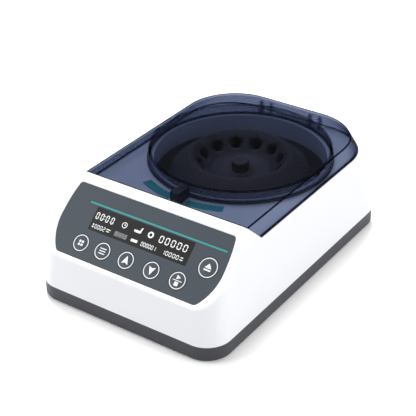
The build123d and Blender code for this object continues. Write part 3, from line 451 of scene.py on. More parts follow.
def circle_points(x, y, radius, count=48, start=0.0, turn=2 * math.pi):
    """Points round a circle or along an arc of it."""
    whole = abs(turn - 2 * math.pi) < 1e-6
    steps = count if whole else count - 1
    points = []
    for index in range(count):
        angle = start + turn * index / steps
        points.append((x + radius * math.cos(angle), y + radius * math.sin(angle)))
    return points


def rounded_box_points(x0, x1, y0, y1, radius, count=6):
    """Outline of a rectangle with round corners."""
    points = []
    corners = ((x1 - radius, y1 - radius, 0.0), (x0 + radius, y1 - radius, 90.0),
               (x0 + radius, y0 + radius, 180.0), (x1 - radius, y0 + radius, 270.0))
    for x, y, start in corners:
        points += circle_points(x, y, radius, count, math.radians(start), math.pi / 2)
    return points


def add_band(form, x, y, inner, outer, low, high, start=0.0, turn=2 * math.pi, count=72):
    """Add a closed flat ring or part of one. Sizes in metres, angles in radians."""
    whole = abs(turn - 2 * math.pi) < 1e-6
    rows = []
    for radius, height in ((inner, low), (outer, low), (outer, high), (inner, high)):
        points = circle_points(x, y, radius, count, start, turn)
        rows.append([form.verts.new((px, py, height)) for px, py in points])
    last = count if whole else count - 1
    for index in range(last):
        after = (index + 1) % count
        for side in range(4):
            here, there = rows[side], rows[(side + 1) % 4]
            form.faces.new((here[index], here[after], there[after], there[index]))
    if not whole:
        form.faces.new([row[0] for row in rows])
        form.faces.new([row[-1] for row in reversed(rows)])


def add_turned(form, profile, x=0.0, y=0.0, count=64):
    """Add a closed solid turned about an upright line through x and y, from radius and height pairs."""
    rows = []
    for radius, height in profile:
        if radius < 1e-9:
            rows.append([form.verts.new((x, y, height))])
        else:
            rows.append([form.verts.new((px, py, height)) for px, py in circle_points(x, y, radius, count)])
    for here, there in zip(rows, rows[1:] + rows[:1]):
        for index in range(count):
            after = (index + 1) % count
            corners = [here[index % len(here)], here[after % len(here)],
                       there[after % len(there)], there[index % len(there)]]
            unique = list(dict.fromkeys(corners))
            if len(unique) > 2:
                form.faces.new(unique)


def outline_at(node, height):
    """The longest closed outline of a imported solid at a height, as points in order round it."""
    form = bmesh.new()
    form.from_mesh(frame["nodes"][node].data)
    bmesh.ops.remove_doubles(form, verts=form.verts, dist=2e-6)
    parts = form.verts[:] + form.edges[:] + form.faces[:]
    cut = bmesh.ops.bisect_plane(form, geom=parts, plane_co=(0, 0, height), plane_no=(0, 0, 1))["geom_cut"]
    edges = {item for item in cut if isinstance(item, bmesh.types.BMEdge)}
    best = []
    while edges:
        edge = edges.pop()
        loop = [edge.verts[0], edge.verts[1]]
        while True:
            onward = next((item for item in loop[-1].link_edges if item in edges), None)
            if onward is None:
                break
            edges.discard(onward)
            loop.append(onward.other_vert(loop[-1]))
        points = [vertex.co.copy() for vertex in loop[:-1]]
        length = sum((a - b).length for a, b in zip(points, points[1:]))
        if length > sum((a - b).length for a, b in zip(best, best[1:])):
            best = points
    form.free()
    kept = [best[0]]
    for point in best[1:]:
        if (point - kept[-1]).length > 0.3 * MM:
            kept.append(point)
    return kept


def add_bead(form, points, inset, radius, sides=8):
    """Add a thin closed rod that follows a level outline at an inset inside it. Sizes in metres."""
    count = len(points)
    area = sum(a.x * b.y - b.x * a.y for a, b in zip(points, points[1:] + points[:1]))
    turn = 1 if area > 0 else -1
    rows = []
    for index, point in enumerate(points):
        before = (point - points[index - 1]).normalized()
        after = (points[(index + 1) % count] - point).normalized()
        along = (before + after).normalized()
        inward = Vector((-along.y, along.x, 0.0)) * turn
        middle = point + inward * inset / max(0.5, along.dot(after))
        row = []
        for step in range(sides):
            angle = 2 * math.pi * step / sides
            aside = inward * math.cos(angle) + Vector((0, 0, math.sin(angle)))
            row.append(form.verts.new(middle + aside * radius))
        rows.append(row)
    for here, there in zip(rows, rows[1:] + rows[:1]):
        for step in range(sides):
            after = (step + 1) % sides
            form.faces.new((here[step], here[after], there[after], there[step]))


def dressed(node, name, material, sharp=32.0, weld=2e-6):
    """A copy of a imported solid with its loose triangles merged, so that curved faces shade smoothly."""
    source = frame["nodes"][node]
    form = bmesh.new()
    form.from_mesh(source.data)
    bmesh.ops.remove_doubles(form, verts=form.verts, dist=weld)
    mesh = bpy.data.meshes.new(name)
    form.to_mesh(mesh)
    form.free()
    piece = new_piece(name, even_shading(mesh, sharp), material, source["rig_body"], sharp)
    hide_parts(node)
    return piece


def even_shading(mesh, sharp):
    """The same mesh with its normals weighted by face area, so that flat faces beside a fillet stay flat."""
    mesh.shade_smooth()
    mesh.set_sharp_from_angle(angle=math.radians(sharp))
    holder = in_scene("shading", mesh)
    modifier = holder.modifiers.new("weight", "WEIGHTED_NORMAL")
    modifier.keep_sharp = True
    modifier.weight = 90
    shaded = settled_mesh(holder)
    shaded.name = mesh.name
    return shaded


def paint(node, material):
    """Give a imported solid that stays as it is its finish."""
    mesh = frame["nodes"][node].data
    mesh.materials.clear()
    mesh.materials.append(material)


def repeat_tree(name, layout, sizes, material, outward):
    """A Geometry Nodes tree that repeats its own mesh over a ring, a row or a grid of places."""
    tree = bpy.data.node_groups.new(name, "GeometryNodeTree")
    tree.is_modifier = True
    tree.interface.new_socket("Geometry", in_out="INPUT", socket_type="NodeSocketGeometry")
    tree.interface.new_socket("Geometry", in_out="OUTPUT", socket_type="NodeSocketGeometry")
    for label, value in sizes.items():
        kind = "NodeSocketInt" if isinstance(value, int) else "NodeSocketFloat"
        tree.interface.new_socket(label, in_out="INPUT", socket_type=kind)
    entry = add_node(tree, "NodeGroupInput")
    places = add_node(tree, layout)
    for label in sizes:
        if label in places.inputs:
            tree.links.new(entry.outputs[label], places.inputs[label])
    inputs = {"Points": places, "Instance": entry}
    if outward:
        spot = add_node(tree, "GeometryNodeInputPosition")
        inputs["Rotation"] = add_node(tree, "FunctionNodeAlignRotationToVector", {"Vector": spot}, axis="X")
    copies = add_node(tree, "GeometryNodeInstanceOnPoints", inputs)
    whole = add_node(tree, "GeometryNodeRealizeInstances", {"Geometry": copies})
    painted = add_node(tree, "GeometryNodeSetMaterial", {"Geometry": whole, "Material": material})
    add_node(tree, "NodeGroupOutput", {"Geometry": painted})
    return tree


def repeated(name, unit, layout, sizes, material, place, outward=False):
    """Repeat a unit mesh by Geometry Nodes and return the result as one plain mesh in its place."""
    maker = in_scene(name + "_maker", unit)
    tree = repeat_tree(name, layout, sizes, material, outward)
    modifier = maker.modifiers.new(name, "NODES")
    modifier.node_group = tree
    for item in tree.interface.items_tree:
        if item.in_out == "INPUT" and item.name in sizes:
            modifier[item.identifier] = sizes[item.name]
    mesh = settled_mesh(maker)
    mesh.name = name
    mesh.transform(place)
    return mesh


def at_four_corners(name, unit, low, high, width, material):
    """Repeat a unit mesh of some width at the four corners of the box that the set fills. Sizes in metres."""
    sizes = {
        "Size X": high.x - low.x - width, "Size Y": high.y - low.y - width, "Vertices X": 2, "Vertices Y": 2}
    return repeated(name, unit, "GeometryNodeMeshGrid", sizes, material, Matrix.Identity(4))


def plain(unit, cutter):
    """A plain mesh from a unit mesh with a cutter mesh taken out of it."""
    body = in_scene("unit", unit)
    tool = in_scene("cutter", cutter)
    modifier = body.modifiers.new("cut", "BOOLEAN")
    modifier.operation = "DIFFERENCE"
    modifier.solver = "EXACT"
    modifier.object = tool
    mesh = settled_mesh(body)
    bpy.data.objects.remove(tool)
    if not mesh.polygons:
        raise RuntimeError("The cut left nothing of " + unit.name)
    return mesh


# Every digit as the segments that are lit: A at the top, on clockwise to F, and G in the middle
SEGMENTS = {
    "0": "ABCDEF", "1": "BC", "2": "ABDEG", "3": "ABCDG", "4": "BCFG",
    "5": "ACDFG", "6": "ACDEFG", "7": "ABC", "8": "ABCDEFG", "9": "ABCDFG",
}


def add_digit(form, digit, x, y, width, height, bar, low, high, slant=0.0):
    """Add one seven-segment digit with its lower left corner at x and y. Sizes in metres."""
    half = height / 2
    gap = bar * 0.12
    ends = {
        "A": ((0, height), (width, height)), "B": ((width, height), (width, half)),
        "C": ((width, half), (width, 0)), "D": ((0, 0), (width, 0)),
        "E": ((0, half), (0, 0)), "F": ((0, height), (0, half)), "G": ((0, half), (width, half)),
    }
    for letter in SEGMENTS[digit]:
        (ax, ay), (bx, by) = ends[letter]
        run = Vector((bx - ax, by - ay)).normalized()
        side = Vector((-run.y, run.x)) * bar / 2
        start = Vector((ax, ay)) + run * (bar / 2 + gap)
        stop = Vector((bx, by)) - run * (bar / 2 + gap)
        tip = run * bar / 2
        outline = [start - tip, start - side, stop - side, stop + tip, stop + side, start + side]
        placed = [(x + p.x + slant * p.y, y + p.y) for p in outline]
        if (outline[1] - outline[0]).cross(outline[2] - outline[1]) < 0:
            placed.reverse()
        add_prism(form, placed, low, high)


def add_number(form, text, x, y, width, height, bar, pitch, low, high, slant=0.0):
    """Add a row of digits."""
    for index, digit in enumerate(text):
        add_digit(form, digit, x + index * pitch, y, width, height, bar, low, high, slant)


def printed(name, form, material, body, place):
    """A piece of printing or a mark, in its place on the surface that carries it."""
    return new_piece(name, mesh_of(name, form, place), material, body)


def mm_points(points):
    """Pairs in millimetres as pairs in metres."""
    return [(x * MM, y * MM) for x, y in points]


# Operators, one for each group of pieces

class CENTRIFUGE_OT_stage(bpy.types.Operator):
    """Add the pale floor, the soft lamps and the camera at the photograph's angle"""
    bl_idname = "centrifuge.stage"
    bl_label = "Stage"

    def execute(self, context):
        settings = context.scene.centrifuge.stage
        form = bmesh.new()
        corners = ((-1, -1), (1, -1), (1, 1), (-1, 1))
        form.faces.new([form.verts.new((x * FLOOR_REACH, y * FLOOR_REACH, 0.0)) for x, y in corners])
        mesh = bpy.data.meshes.new("floor")
        form.to_mesh(mesh)
        form.free()
        floor = in_scene("floor", mesh)
        mesh.materials.append(floor_finish(settings))
        self.add_world(context, settings)
        for name, spot, side, power in LAMPS:
            self.add_lamp(name, spot, side, getattr(settings, power))
        camera_data = bpy.data.cameras.new("camera")
        camera_data.lens = settings.lens
        camera_data.sensor_width = 36.0
        camera_data.clip_start = 0.05
        camera_data.clip_end = 50.0
        camera = in_scene("camera", camera_data)
        turn = Matrix((CAMERA_RIGHT, CAMERA_UP, CAMERA_BACK)).transposed().to_4x4()
        camera.matrix_world = Matrix.Translation(CAMERA_SPOT) @ turn
        context.scene.camera = camera
        context.scene.view_settings.view_transform = "Standard"
        return {"FINISHED"}

    def add_world(self, context, settings):
        """An even pale surround that lamps, mirrors and the camera all see."""
        world = bpy.data.worlds.new("studio")
        context.scene.world = world
        world.use_nodes = True
        tree = world.node_tree
        tree.nodes.clear()
        output = add_node(tree, "ShaderNodeOutputWorld")
        light = add_node(tree, "ShaderNodeBackground", {"Color": WHITE, "Strength": settings.surround})
        backdrop = add_node(tree, "ShaderNodeBackground", {"Color": WHITE, "Strength": 1.0})
        mixed = add_node(tree, "ShaderNodeMixShader", {0: seen_plainly(tree), 1: light, 2: backdrop})
        tree.links.new(mixed.outputs["Shader"], output.inputs["Surface"])

    def add_lamp(self, name, spot, size, power):
        """A square soft lamp that looks at the middle of the object."""
        lamp = bpy.data.lights.new(name, "AREA")
        lamp.shape = "SQUARE"
        lamp.size = size
        lamp.energy = power
        holder = in_scene(name, lamp)
        aim = Vector((0.0, 0.0, 0.05)) - Vector(spot)
        turn = aim.to_track_quat("-Z", "Y").to_matrix().to_4x4()
        holder.matrix_world = Matrix.Translation(spot) @ turn


def seen_plainly(tree):
    """One where the camera, a mirror or a clear piece looks, and zero for the light that falls on things."""
    path = add_node(tree, "ShaderNodeLightPath")
    seen = path.outputs["Is Camera Ray"]
    for ray in ("Is Glossy Ray", "Is Transmission Ray"):
        seen = add_node(tree, "ShaderNodeMath", {0: seen, 1: path.outputs[ray]}, operation="MAXIMUM")
    return seen


def floor_finish(settings):
    """Matt white board that looks white away from the object and keeps its soft shadow. Light that has
    passed the lid meets a plainer tone."""
    material, tree, output = new_material("White board")
    bounce = add_node(tree, "ShaderNodeBsdfDiffuse", {"Color": (*settings.bounce, 1.0)})
    through = add_node(tree, "ShaderNodeLightPath").outputs["Transparent Depth"]
    behind = add_node(tree, "ShaderNodeMath", {0: through, 1: 0.5}, operation="GREATER_THAN")
    tone = add_node(tree, "ShaderNodeMix", {
        0: behind, 6: (*settings.floor, 1.0), 7: (*settings.floor_behind, 1.0)}, data_type="RGBA")
    board = add_node(tree, "ShaderNodeBsdfDiffuse", {"Color": tone.outputs[2]})
    glow = add_node(tree, "ShaderNodeEmission", {"Color": WHITE, "Strength": 1.0})
    looks = add_node(tree, "ShaderNodeMixShader", {0: settings.lift, 1: board, 2: glow})
    mixed = add_node(tree, "ShaderNodeMixShader", {0: seen_plainly(tree), 1: bounce, 2: looks})
    tree.links.new(mixed.outputs["Shader"], output.inputs["Surface"])
    return material


class CENTRIFUGE_OT_housing(bpy.types.Operator):
    """Dress the white housing, the dark tray, its feet and its screws"""
    bl_idname = "centrifuge.housing"
    bl_label = "Housing"

    def execute(self, context):
        dressed("upper_housing", "housing_shell", FINISHES["white_abs"], 28.0)
        dressed("base_tray", "base_band", FINISHES["grey_abs"], 28.0)
        self.add_feet(FINISHES["rubber"])
        self.add_screws(FINISHES["zinc_steel"])
        return {"FINISHED"}

    def add_feet(self, material):
        """Four turned rubber feet with a dished sole."""
        form = bmesh.new()
        low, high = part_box("rubber_feet")
        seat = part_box("base_tray")[0].z / MM
        top = high.z / MM
        profile = [(0, 0.6), (5.6, 0.6), (6.1, 0), (8.1, 0), (8.7, 0.3), (FOOT_RADIUS, 1.0),
                   (FOOT_RADIUS, seat - 0.3), (8.8, seat - 0.02), (FOOT_STEM_RADIUS, seat - 0.02),
                   (FOOT_STEM_RADIUS, top - 0.4), (2.5, top), (0, top)]
        add_turned(form, mm_points(profile), count=40)
        unit = mesh_of("foot", form)
        mesh = at_four_corners("feet", unit, low, high, 2 * FOOT_RADIUS * MM, material)
        feet = new_piece("feet", mesh, material, "housing")
        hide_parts("rubber_feet")

    def add_screws(self, material):
        """Four pan-head screws with cross recesses, seen from below."""
        form = bmesh.new()
        low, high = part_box("base_screws")
        head = low.z / MM
        tip = high.z / MM
        profile = [(0, head), (2.6, head), (3.3, head + 0.3), (SCREW_HEAD_RADIUS, head + 1.0),
                   (SCREW_HEAD_RADIUS, head + 2.38), (SCREW_CREST_RADIUS, head + 2.38)]
        for turn in range(int(tip - head - 6)):
            height = head + 3.5 + turn
            profile += [(SCREW_CREST_RADIUS, height), (SCREW_ROOT_RADIUS, height + 0.5)]
        profile += [(1.2, tip - 0.2), (0, tip - 0.1)]
        add_turned(form, mm_points(profile), count=28)
        unit = mesh_of("screw", form)
        cross = bmesh.new()
        wide, deep = 2.2, 0.5
        quarter = [(wide, -deep), (wide, deep), (deep, deep)]
        outline = []
        for turn in range(4):
            outline += quarter
            quarter = [(-y, x) for x, y in quarter]
        add_prism(cross, mm_points(outline), (head - 1.0) * MM, (head + 1.4) * MM)
        cut = bpy.data.meshes.new("cross")
        cross.to_mesh(cut)
        cross.free()
        unit = plain(unit, cut)
        mesh = at_four_corners("tray_screws", unit, low, high, 2 * SCREW_HEAD_RADIUS * MM, material)
        screws = new_piece("tray_screws", mesh, material, "housing")
        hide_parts("base_screws")


class CENTRIFUGE_OT_panel(bpy.types.Operator):
    """Dress the sloping control panel, its teal line and its lit display"""
    bl_idname = "centrifuge.panel"
    bl_label = "Control panel"

    def execute(self, context):
        settings = context.scene.centrifuge.panel
        paint("control_panel", FINISHES["panel_film"])
        dressed("display_window", "display_glass", FINISHES["black_acrylic"])
        low, high = -PRINT_ROOT * MM, PRINT_DEPTH * MM
        form = bmesh.new()
        half = settings.line_width / 2
        left, right, middle, flare = -0.0614, 0.0780, -0.0143, 0.0004
        outline = [(left - flare, middle - half), (right + flare, middle - half),
                   (right, middle + half), (left, middle + half)]
        add_prism(form, outline, low, high)
        printed("panel_line", form, FINISHES["teal_under_film"], "housing", PANEL_PLACE)
        self.add_display(low, high)
        return {"FINISHED"}

    def add_display(self, low, high):
        """Lit digits, plain numbers only, plain symbols and a row of meter bars."""
        form = bmesh.new()
        upper = -26.2 * MM
        lower = -34.4 * MM
        for text, x, y, width, height, bar, pitch in (
                ("00", -50.0, upper, 2.3, 5.4, 0.75, 4.9), ("00", -39.6, upper, 2.3, 5.4, 0.75, 5.3),
                ("00000", 16.4, upper, 3.2, 5.4, 0.8, 6.0), ("0002", -46.8, lower, 1.7, 3.3, 0.5, 2.9),
                ("000001", 2.0, lower, 1.6, 3.3, 0.5, 2.6), ("10000", 23.6, lower, 2.1, 3.3, 0.55, 3.5)):
            add_number(form, text, x * MM, y, width * MM, height * MM, bar * MM, pitch * MM, low, high)
        for x, y, size in (
                (-41.5, -22.0, 0.4), (-41.5, -24.6, 0.4), (-48.9, -31.6, 0.7), (-48.9, -33.7, 0.8)):
            add_prism(form, circle_points(x * MM, y * MM, size * MM, 12), low, high)
        for x, y, wide in (
                (-34.9, -31.7, 4.2), (-34.6, -33.5, 3.2), (41.6, -31.8, 2.6), (41.2, -33.8, 3.2)):
            outline = rounded_box_points(x, x + wide, y - 0.35, y + 0.35, 0.2, 3)
            add_prism(form, mm_points(outline), low, high)
        self.add_symbols(form, low, high)
        printed("display_digits", form, FINISHES["display_white"], "housing", PANEL_PLACE)
        bar = bmesh.new()
        outline = mm_points([(-0.38, -2.1), (0.38, -2.1), (0.38, 2.1), (-0.38, 2.1)])
        add_prism(bar, outline, low, high)
        unit = mesh_of("meter_bar", bar)
        sizes = {"Size X": 0.0118, "Size Y": 0.0, "Vertices X": 11, "Vertices Y": 2}
        place = PANEL_PLACE @ Matrix.Translation((-19.6 * MM, -32.4 * MM, 0.0))
        grey = FINISHES["display_grey"]
        mesh = repeated("display_meter", unit, "GeometryNodeMeshGrid", sizes, grey, place)
        new_piece("display_meter", mesh, grey, "housing")

    def add_symbols(self, form, low, high):
        """A clock, a rotor with its lid up, a turning ring and a level bar."""
        add_band(form, -20.3 * MM, -23.2 * MM, 2.0 * MM, 2.6 * MM, low, high, count=40)
        hands = ([(-20.5, -23.6), (-20.0, -23.6), (-20.0, -21.9), (-20.5, -21.9)],
                 [(-20.0, -23.6), (-19.0, -23.6), (-19.0, -23.1), (-20.0, -23.1)])
        for outline in hands:
            add_prism(form, mm_points(outline), low, high)
        rotor = [(-9.0, -25.3), (-3.3, -25.3), (-2.6, -24.6), (-2.4, -21.2), (-2.0, -20.7), (-2.1, -20.0),
                 (-3.4, -20.6), (-3.7, -21.3), (-4.1, -23.3), (-9.6, -23.3), (-9.9, -24.0)]
        add_prism(form, mm_points(rotor), low, high)
        add_band(form, 6.9 * MM, -23.1 * MM, 1.5 * MM, 2.8 * MM, low, high, count=40)
        add_prism(form, rounded_box_points(-8.7 * MM, -2.1 * MM, -33.8 * MM, -31.5 * MM, 0.5 * MM), low, high)


class CENTRIFUGE_OT_keys(bpy.types.Operator):
    """Build the six keys, each with its printed ring and a plain symbol"""
    bl_idname = "centrifuge.keys"
    bl_label = "Keys"

    def execute(self, context):
        settings = context.scene.centrifuge.panel
        low, high = -PRINT_ROOT * MM, PRINT_DEPTH * MM
        for node in KEYS:
            x, y, half_width = panel_spot(node)
            radius = half_width / MM
            place = PANEL_PLACE @ Matrix.Translation((x, y, 0.0))
            form = bmesh.new()
            profile = [(0, -5.45), (2.5, -5.45), (2.5, -1.6), (radius, -1.6), (radius, -0.3),
                       (radius - 0.06, -0.1), (radius - 0.25, 0.0), (0, 0.0)]
            add_turned(form, mm_points(profile), count=72)
            mesh = mesh_of(node, form, place)
            cap = new_piece(node + "_cap", mesh, FINISHES["panel_film"], node)
            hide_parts(node)
            marks = bmesh.new()
            outer = (radius - RING_INSET) * MM
            add_band(marks, 0.0, 0.0, outer - settings.ring_width, outer, low, high)
            scale = radius / SYMBOL_KEY_RADIUS
            for outline in self.symbol(node):
                add_prism(marks, [(px * scale * MM, py * scale * MM) for px, py in outline], low, high)
            printed(node + "_print", marks, FINISHES["white_ink"], node, place)
        return {"FINISHED"}

    def symbol(self, node):
        """Outlines in millimetres of a key's plain symbol."""
        if node == "key_program":
            spots = (-2.4, 0.4)
            return [rounded_box_points(x, x + 2.0, y, y + 2.0, 0.3, 3) for x in spots for y in spots]
        if node == "key_menu":
            return [rounded_box_points(-3.2, 3.2, y - 0.4, y + 0.4, 0.35, 3) for y in (-2.2, 0.0, 2.2)]
        if node == "key_up":
            return [[(-3.3, -3.2), (0.0, -1.9), (3.3, -3.2), (0.0, 4.2)]]
        if node == "key_down":
            return [[(-3.3, 3.2), (0.0, -4.2), (3.3, 3.2), (0.0, 1.9)]]
        if node == "key_start":
            return [[(-1.7, 0.9), (2.1, 2.8), (-1.7, 4.7)], rounded_box_points(-4.4, 4.4, -0.3, 0.3, 0.2, 3),
                    rounded_box_points(-1.8, 1.8, -4.6, -1.2, 0.3, 3)]
        return [[(-2.9, -0.4), (2.9, -0.4), (0.0, 3.2)], rounded_box_points(-2.9, 2.9, -2.4, -1.3, 0.3, 3)]


class CENTRIFUGE_OT_lid(bpy.types.Operator):
    """Dress the smoked hood and the latch striker under its deck"""
    bl_idname = "centrifuge.lid"
    bl_label = "Lid"

    def execute(self, context):
        dressed("lid", "smoked_hood", FINISHES["smoked"], 30.0)
        # A dark rod inside the lid's top edge: painted shade for the line that the rounded edge shows
        form = bmesh.new()
        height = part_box("lid")[1].z - EDGE_LINE_DROP * MM
        add_bead(form, outline_at("lid", height), EDGE_LINE_INSET * MM, EDGE_LINE_RADIUS * MM)
        mesh = mesh_of("lid_edge_line", form)
        new_piece("lid_edge_line", mesh, FINISHES["smoked_painted_edge_shade"], "lid")
        dressed("latch_striker", "striker", FINISHES["black_pbt"])
        return {"FINISHED"}


class CENTRIFUGE_OT_ledge(bpy.types.Operator):
    """Add the two plain teal strips printed on the ledge under the lid"""
    bl_idname = "centrifuge.ledge"
    bl_label = "Ledge"

    def execute(self, context):
        settings = context.scene.centrifuge.lid
        low = (LEDGE_HEIGHT - PRINT_ROOT) * MM
        high = (LEDGE_HEIGHT + PRINT_DEPTH) * MM
        form = bmesh.new()
        for start, stop in ((-28.0, -6.0), (4.0, 24.5)):
            angle = math.radians(start - 90.0)
            turn = math.radians(stop - start)
            add_band(form, 0.0, AXIS_Y, settings.strip_inner, settings.strip_outer, low, high,
                     angle, turn, 40)
        printed("ledge_strips", form, FINISHES["teal_ink"], "housing", Matrix.Identity(4))
        return {"FINISHED"}


class CENTRIFUGE_OT_chamber(bpy.types.Operator):
    """Dress the chamber collar, its gasket, the bowl and the spindle seal"""
    bl_idname = "centrifuge.chamber"
    bl_label = "Chamber"

    def execute(self, context):
        dressed("chamber_collar", "collar", FINISHES["pale_pp"])
        dressed("lid_gasket", "gasket", FINISHES["silicone"])
        dressed("rotor_bowl", "bowl", FINISHES["bowl_paint"])
        paint("spindle_seal", FINISHES["rubber"])
        paint("bowl_hangers", FINISHES["black_pbt"])
        return {"FINISHED"}


class CENTRIFUGE_OT_rotor(bpy.types.Operator):
    """Dress the rotor, its nut and its spindle"""
    bl_idname = "centrifuge.rotor"
    bl_label = "Rotor"

    def execute(self, context):
        dressed("rotor", "fixed_angle_rotor", FINISHES["dark_anodised"])
        dressed("rotor_nut", "knurled_nut", FINISHES["dark_anodised"], 25.0)
        dressed("spindle", "rotor_spindle", FINISHES["ground_steel"])
        return {"FINISHED"}


class CENTRIFUGE_OT_rear(bpy.types.Operator):
    """Build the marks of the power switch, and dress the rear panel and the mains inlet"""
    bl_idname = "centrifuge.rear"
    bl_label = "Rear panel"

    def execute(self, context):
        black = FINISHES["black_pbt"]
        dressed("rear_panel", "connection_panel", black)
        dressed("mains_inlet", "inlet", black)
        dressed("switch_frame", "rocker_frame", black)
        dressed("power_rocker", "rocker", FINISHES["rocker_black"])
        dressed("fuse_drawer", "fuse_holder", black)
        self.add_rocker_marks(FINISHES["white_ink"])
        return {"FINISHED"}

    def add_rocker_marks(self, ink):
        """A bar for on and a ring for off, on the hollow faces of the rocker's two halves."""
        low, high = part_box("rocker_pivot")
        pivot = (low + high) / 2
        face = pivot.y + ROCKER_FACE * MM
        turned = Matrix.Translation(pivot) @ Matrix.Rotation(ROCKER_REST, 4, "X") @ Matrix.Translation(-pivot)
        # Seen from behind, so that a mark's right is the object's left
        upright = Matrix(((-1, 0, 0), (0, 0, 1), (0, 1, 0))).to_4x4()
        for name, side in (("on_mark", -1), ("off_mark", 1)):
            angle = side * math.asin(ROCKER_MARK / ROCKER_HOLLOW)
            middle = Vector((pivot.x, face + ROCKER_HOLLOW * MM, pivot.z))
            place = turned @ Matrix.Translation(middle) @ Matrix.Rotation(-angle, 4, "X")
            place = place @ Matrix.Translation((0, -ROCKER_HOLLOW * MM, 0)) @ upright
            form = bmesh.new()
            root, top = (depth * MM for depth in ROCKER_PRINT)
            if name == "on_mark":
                bar = rounded_box_points(-0.3, 0.3, -1.7, 1.7, 0.15, 3)
                add_prism(form, mm_points(bar), root, top)
            else:
                add_band(form, 0.0, 0.0, 1.2 * MM, 1.75 * MM, root, top, count=40)
            printed(name, form, ink, "power_rocker", place)


class CENTRIFUGE_OT_works(bpy.types.Operator):
    """Give the drive, the boards, the hinge and the latch the finishes of their real parts"""
    bl_idname = "centrifuge.works"
    bl_label = "Inner works"

    def execute(self, context):
        for node, key in INNER_FINISHES.items():
            paint(node, FINISHES[key])
        return {"FINISHED"}


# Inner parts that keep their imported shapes, and their finishes
INNER_FINISHES = {
    "display_module": "board_green", "control_board": "board_green", "control_board_screws": "zinc_steel",
    "key_switches": "black_pbt", "hinge_pins": "ground_steel", "hinge_brackets": "zinc_steel",
    "hinge_springs": "zinc_steel", "latch_frame": "zinc_steel", "latch_pawl": "ground_steel",
    "latch_solenoid": "zinc_steel", "motor_can": "zinc_steel", "motor_cap": "turned_aluminium",
    "motor_bearing_lower": "ground_steel", "motor_bearing_upper": "ground_steel", "motor_core": "core_steel",
    "motor_windings": "copper_wire", "motor_plate": "zinc_steel", "motor_mounts": "rubber",
    "motor_plate_screws": "zinc_steel", "fuse": "clear_glass", "rocker_pivot": "ground_steel",
    "power_board": "board_green", "transformer": "core_steel", "capacitors": "capacitor_sleeve",
}


# Settings that a user would change

class CENTRIFUGE_PG_housing(bpy.types.PropertyGroup):
    """Colours of the housing"""
    white: FloatVectorProperty(
        name="White", description="Colour of the upper housing", subtype="COLOR", size=4, min=0.0, max=1.0,
        default=linear("F1F2F6"))
    grey: FloatVectorProperty(
        name="Grey", description="Colour of the base tray", subtype="COLOR", size=4, min=0.0, max=1.0,
        default=linear("414248"))


class CENTRIFUGE_PG_panel(bpy.types.PropertyGroup):
    """Colours and line widths of the control panel"""
    film: FloatVectorProperty(
        name="Film", description="Colour of the panel's film", subtype="COLOR", size=4, min=0.0, max=1.0,
        default=linear("3F464D"))
    teal: FloatVectorProperty(
        name="Teal", description="Colour of the line above the display and of the strips on the ledge",
        subtype="COLOR", size=4, min=0.0, max=1.0, default=linear("25A79F"))
    line_width: FloatProperty(
        name="Line", description="Width of the teal line", unit="LENGTH", default=0.0014, min=0.0002)
    ring_width: FloatProperty(
        name="Ring", description="Width of the printed ring on each key", unit="LENGTH",
        default=0.0007, min=0.0001)


class CENTRIFUGE_PG_lid(bpy.types.PropertyGroup):
    """Tint of the lid, and the strips under it"""
    tint: FloatVectorProperty(
        name="Tint", description="Share of red, green and blue light that gets through one millimetre",
        subtype="COLOR", size=3, min=0.0, max=1.0, default=(0.765, 0.785, 0.832))
    # Painted shade on the lid's moulded edges: the share of light that they let through
    edge: FloatVectorProperty(
        name="Edge", description="Share of red, green and blue light that gets through a moulded edge",
        subtype="COLOR", size=3, min=0.0, max=1.0, default=(0.22, 0.22, 0.25))
    gleam: FloatProperty(
        name="Gleam", description="Share of the polished look where the sheet turns away", default=0.15,
        subtype="FACTOR", min=0.0, max=1.0)
    haze: FloatProperty(
        name="Haze", description="How milky the ring wall is", default=0.3, subtype="FACTOR",
        min=0.0, max=1.0)
    strip_inner: FloatProperty(
        name="Strip inner radius", description="Inner radius of the strips about the rotor's axis",
        unit="LENGTH", default=0.089, min=0.086)
    strip_outer: FloatProperty(
        name="Strip outer radius", description="Outer radius of the strips about the rotor's axis",
        unit="LENGTH", default=0.098, min=0.087)


class CENTRIFUGE_PG_stage(bpy.types.PropertyGroup):
    """Lamps, surround, floor and lens"""
    key_power: FloatProperty(
        name="Key lamp", description="Power of the lamp at the right", unit="POWER", default=30.0, min=0.0)
    fill_power: FloatProperty(
        name="Fill lamp", description="Power of the lamp in front", unit="POWER", default=30.0, min=0.0)
    top_power: FloatProperty(
        name="Top lamp", description="Power of the lamp overhead", unit="POWER", default=40.0, min=0.0)
    surround: FloatProperty(
        name="Surround", description="Strength of the even light from all sides", default=0.42, min=0.0)
    floor: FloatVectorProperty(
        name="Floor", size=3, min=0.0, default=(1.3, 1.3, 1.3),
        description="Brightness of the floor as it is seen, over one to keep only the deep shadow")
    floor_behind: FloatVectorProperty(
        name="Floor behind", description="Colour of the floor where it is seen through the lid",
        subtype="COLOR", size=3, min=0.0, max=1.0, default=(0.9, 0.9, 0.9))
    bounce: FloatVectorProperty(
        name="Floor bounce", description="Colour of the floor for the light that it throws back",
        subtype="COLOR", size=3, min=0.0, max=1.0, default=(0.4, 0.4, 0.4))
    lift: FloatProperty(
        name="Floor lift", description="Share of plain white in the floor as the camera sees it",
        subtype="FACTOR", default=0.05, min=0.0, max=1.0)
    lens: FloatProperty(
        name="Lens", description="Focal length of the camera in millimetres", default=102.0, min=10.0)


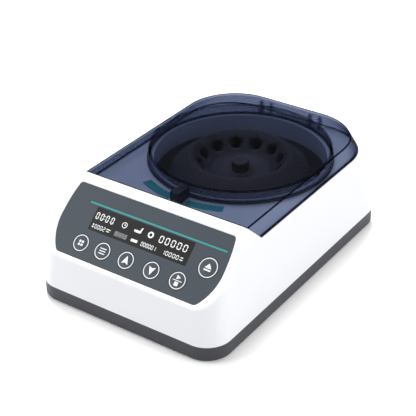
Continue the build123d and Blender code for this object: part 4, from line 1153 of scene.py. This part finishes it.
class CENTRIFUGE_PG_settings(bpy.types.PropertyGroup):
    """All settings of the centrifuge"""
    housing: PointerProperty(type=CENTRIFUGE_PG_housing, name="Housing", description="Housing colours")
    panel: PointerProperty(
        type=CENTRIFUGE_PG_panel, name="Panel", description="Control panel colours and lines")
    lid: PointerProperty(type=CENTRIFUGE_PG_lid, name="Lid", description="Tint of the lid")
    stage: PointerProperty(type=CENTRIFUGE_PG_stage, name="Stage", description="Lamps, floor and lens")


class CENTRIFUGE_OT_materials(bpy.types.Operator):
    """Make every finish from the settings"""
    bl_idname = "centrifuge.materials"
    bl_label = "Finishes"

    def execute(self, context):
        FINISHES.clear()
        FINISHES.update(build_materials(context.scene.centrifuge))
        return {"FINISHED"}


class CENTRIFUGE_PT_builder(bpy.types.Panel):
    """Lists the steps that build the centrifuge"""
    bl_idname = "CENTRIFUGE_PT_builder"
    bl_label = "Mini Centrifuge"
    bl_space_type = "VIEW_3D"
    bl_region_type = "UI"
    bl_category = "Centrifuge"

    def draw(self, context):
        for step in STEPS:
            self.layout.operator("centrifuge." + step)


STEPS = (
    "materials", "housing", "panel", "keys", "lid", "ledge", "chamber", "rotor", "rear", "works", "stage")

CLASSES = (
    CENTRIFUGE_PG_housing, CENTRIFUGE_PG_panel, CENTRIFUGE_PG_lid, CENTRIFUGE_PG_stage,
    CENTRIFUGE_PG_settings, CENTRIFUGE_OT_materials, CENTRIFUGE_OT_housing, CENTRIFUGE_OT_panel,
    CENTRIFUGE_OT_keys, CENTRIFUGE_OT_lid, CENTRIFUGE_OT_ledge, CENTRIFUGE_OT_chamber,
    CENTRIFUGE_OT_rotor, CENTRIFUGE_OT_rear, CENTRIFUGE_OT_works, CENTRIFUGE_OT_stage,
    CENTRIFUGE_PT_builder,
)


def register():
    """Register the classes and hang the settings on the scene."""
    for item in CLASSES:
        bpy.utils.register_class(item)
    bpy.types.Scene.centrifuge = PointerProperty(type=CENTRIFUGE_PG_settings)


def unregister():
    """Take the settings and the classes away again."""
    del bpy.types.Scene.centrifuge
    for item in reversed(CLASSES):
        bpy.utils.unregister_class(item)


def main():
    """Build every piece in order."""
    register()
    for step in STEPS:
        getattr(bpy.ops.centrifuge, step)()


if __name__ == "__main__":
    main()
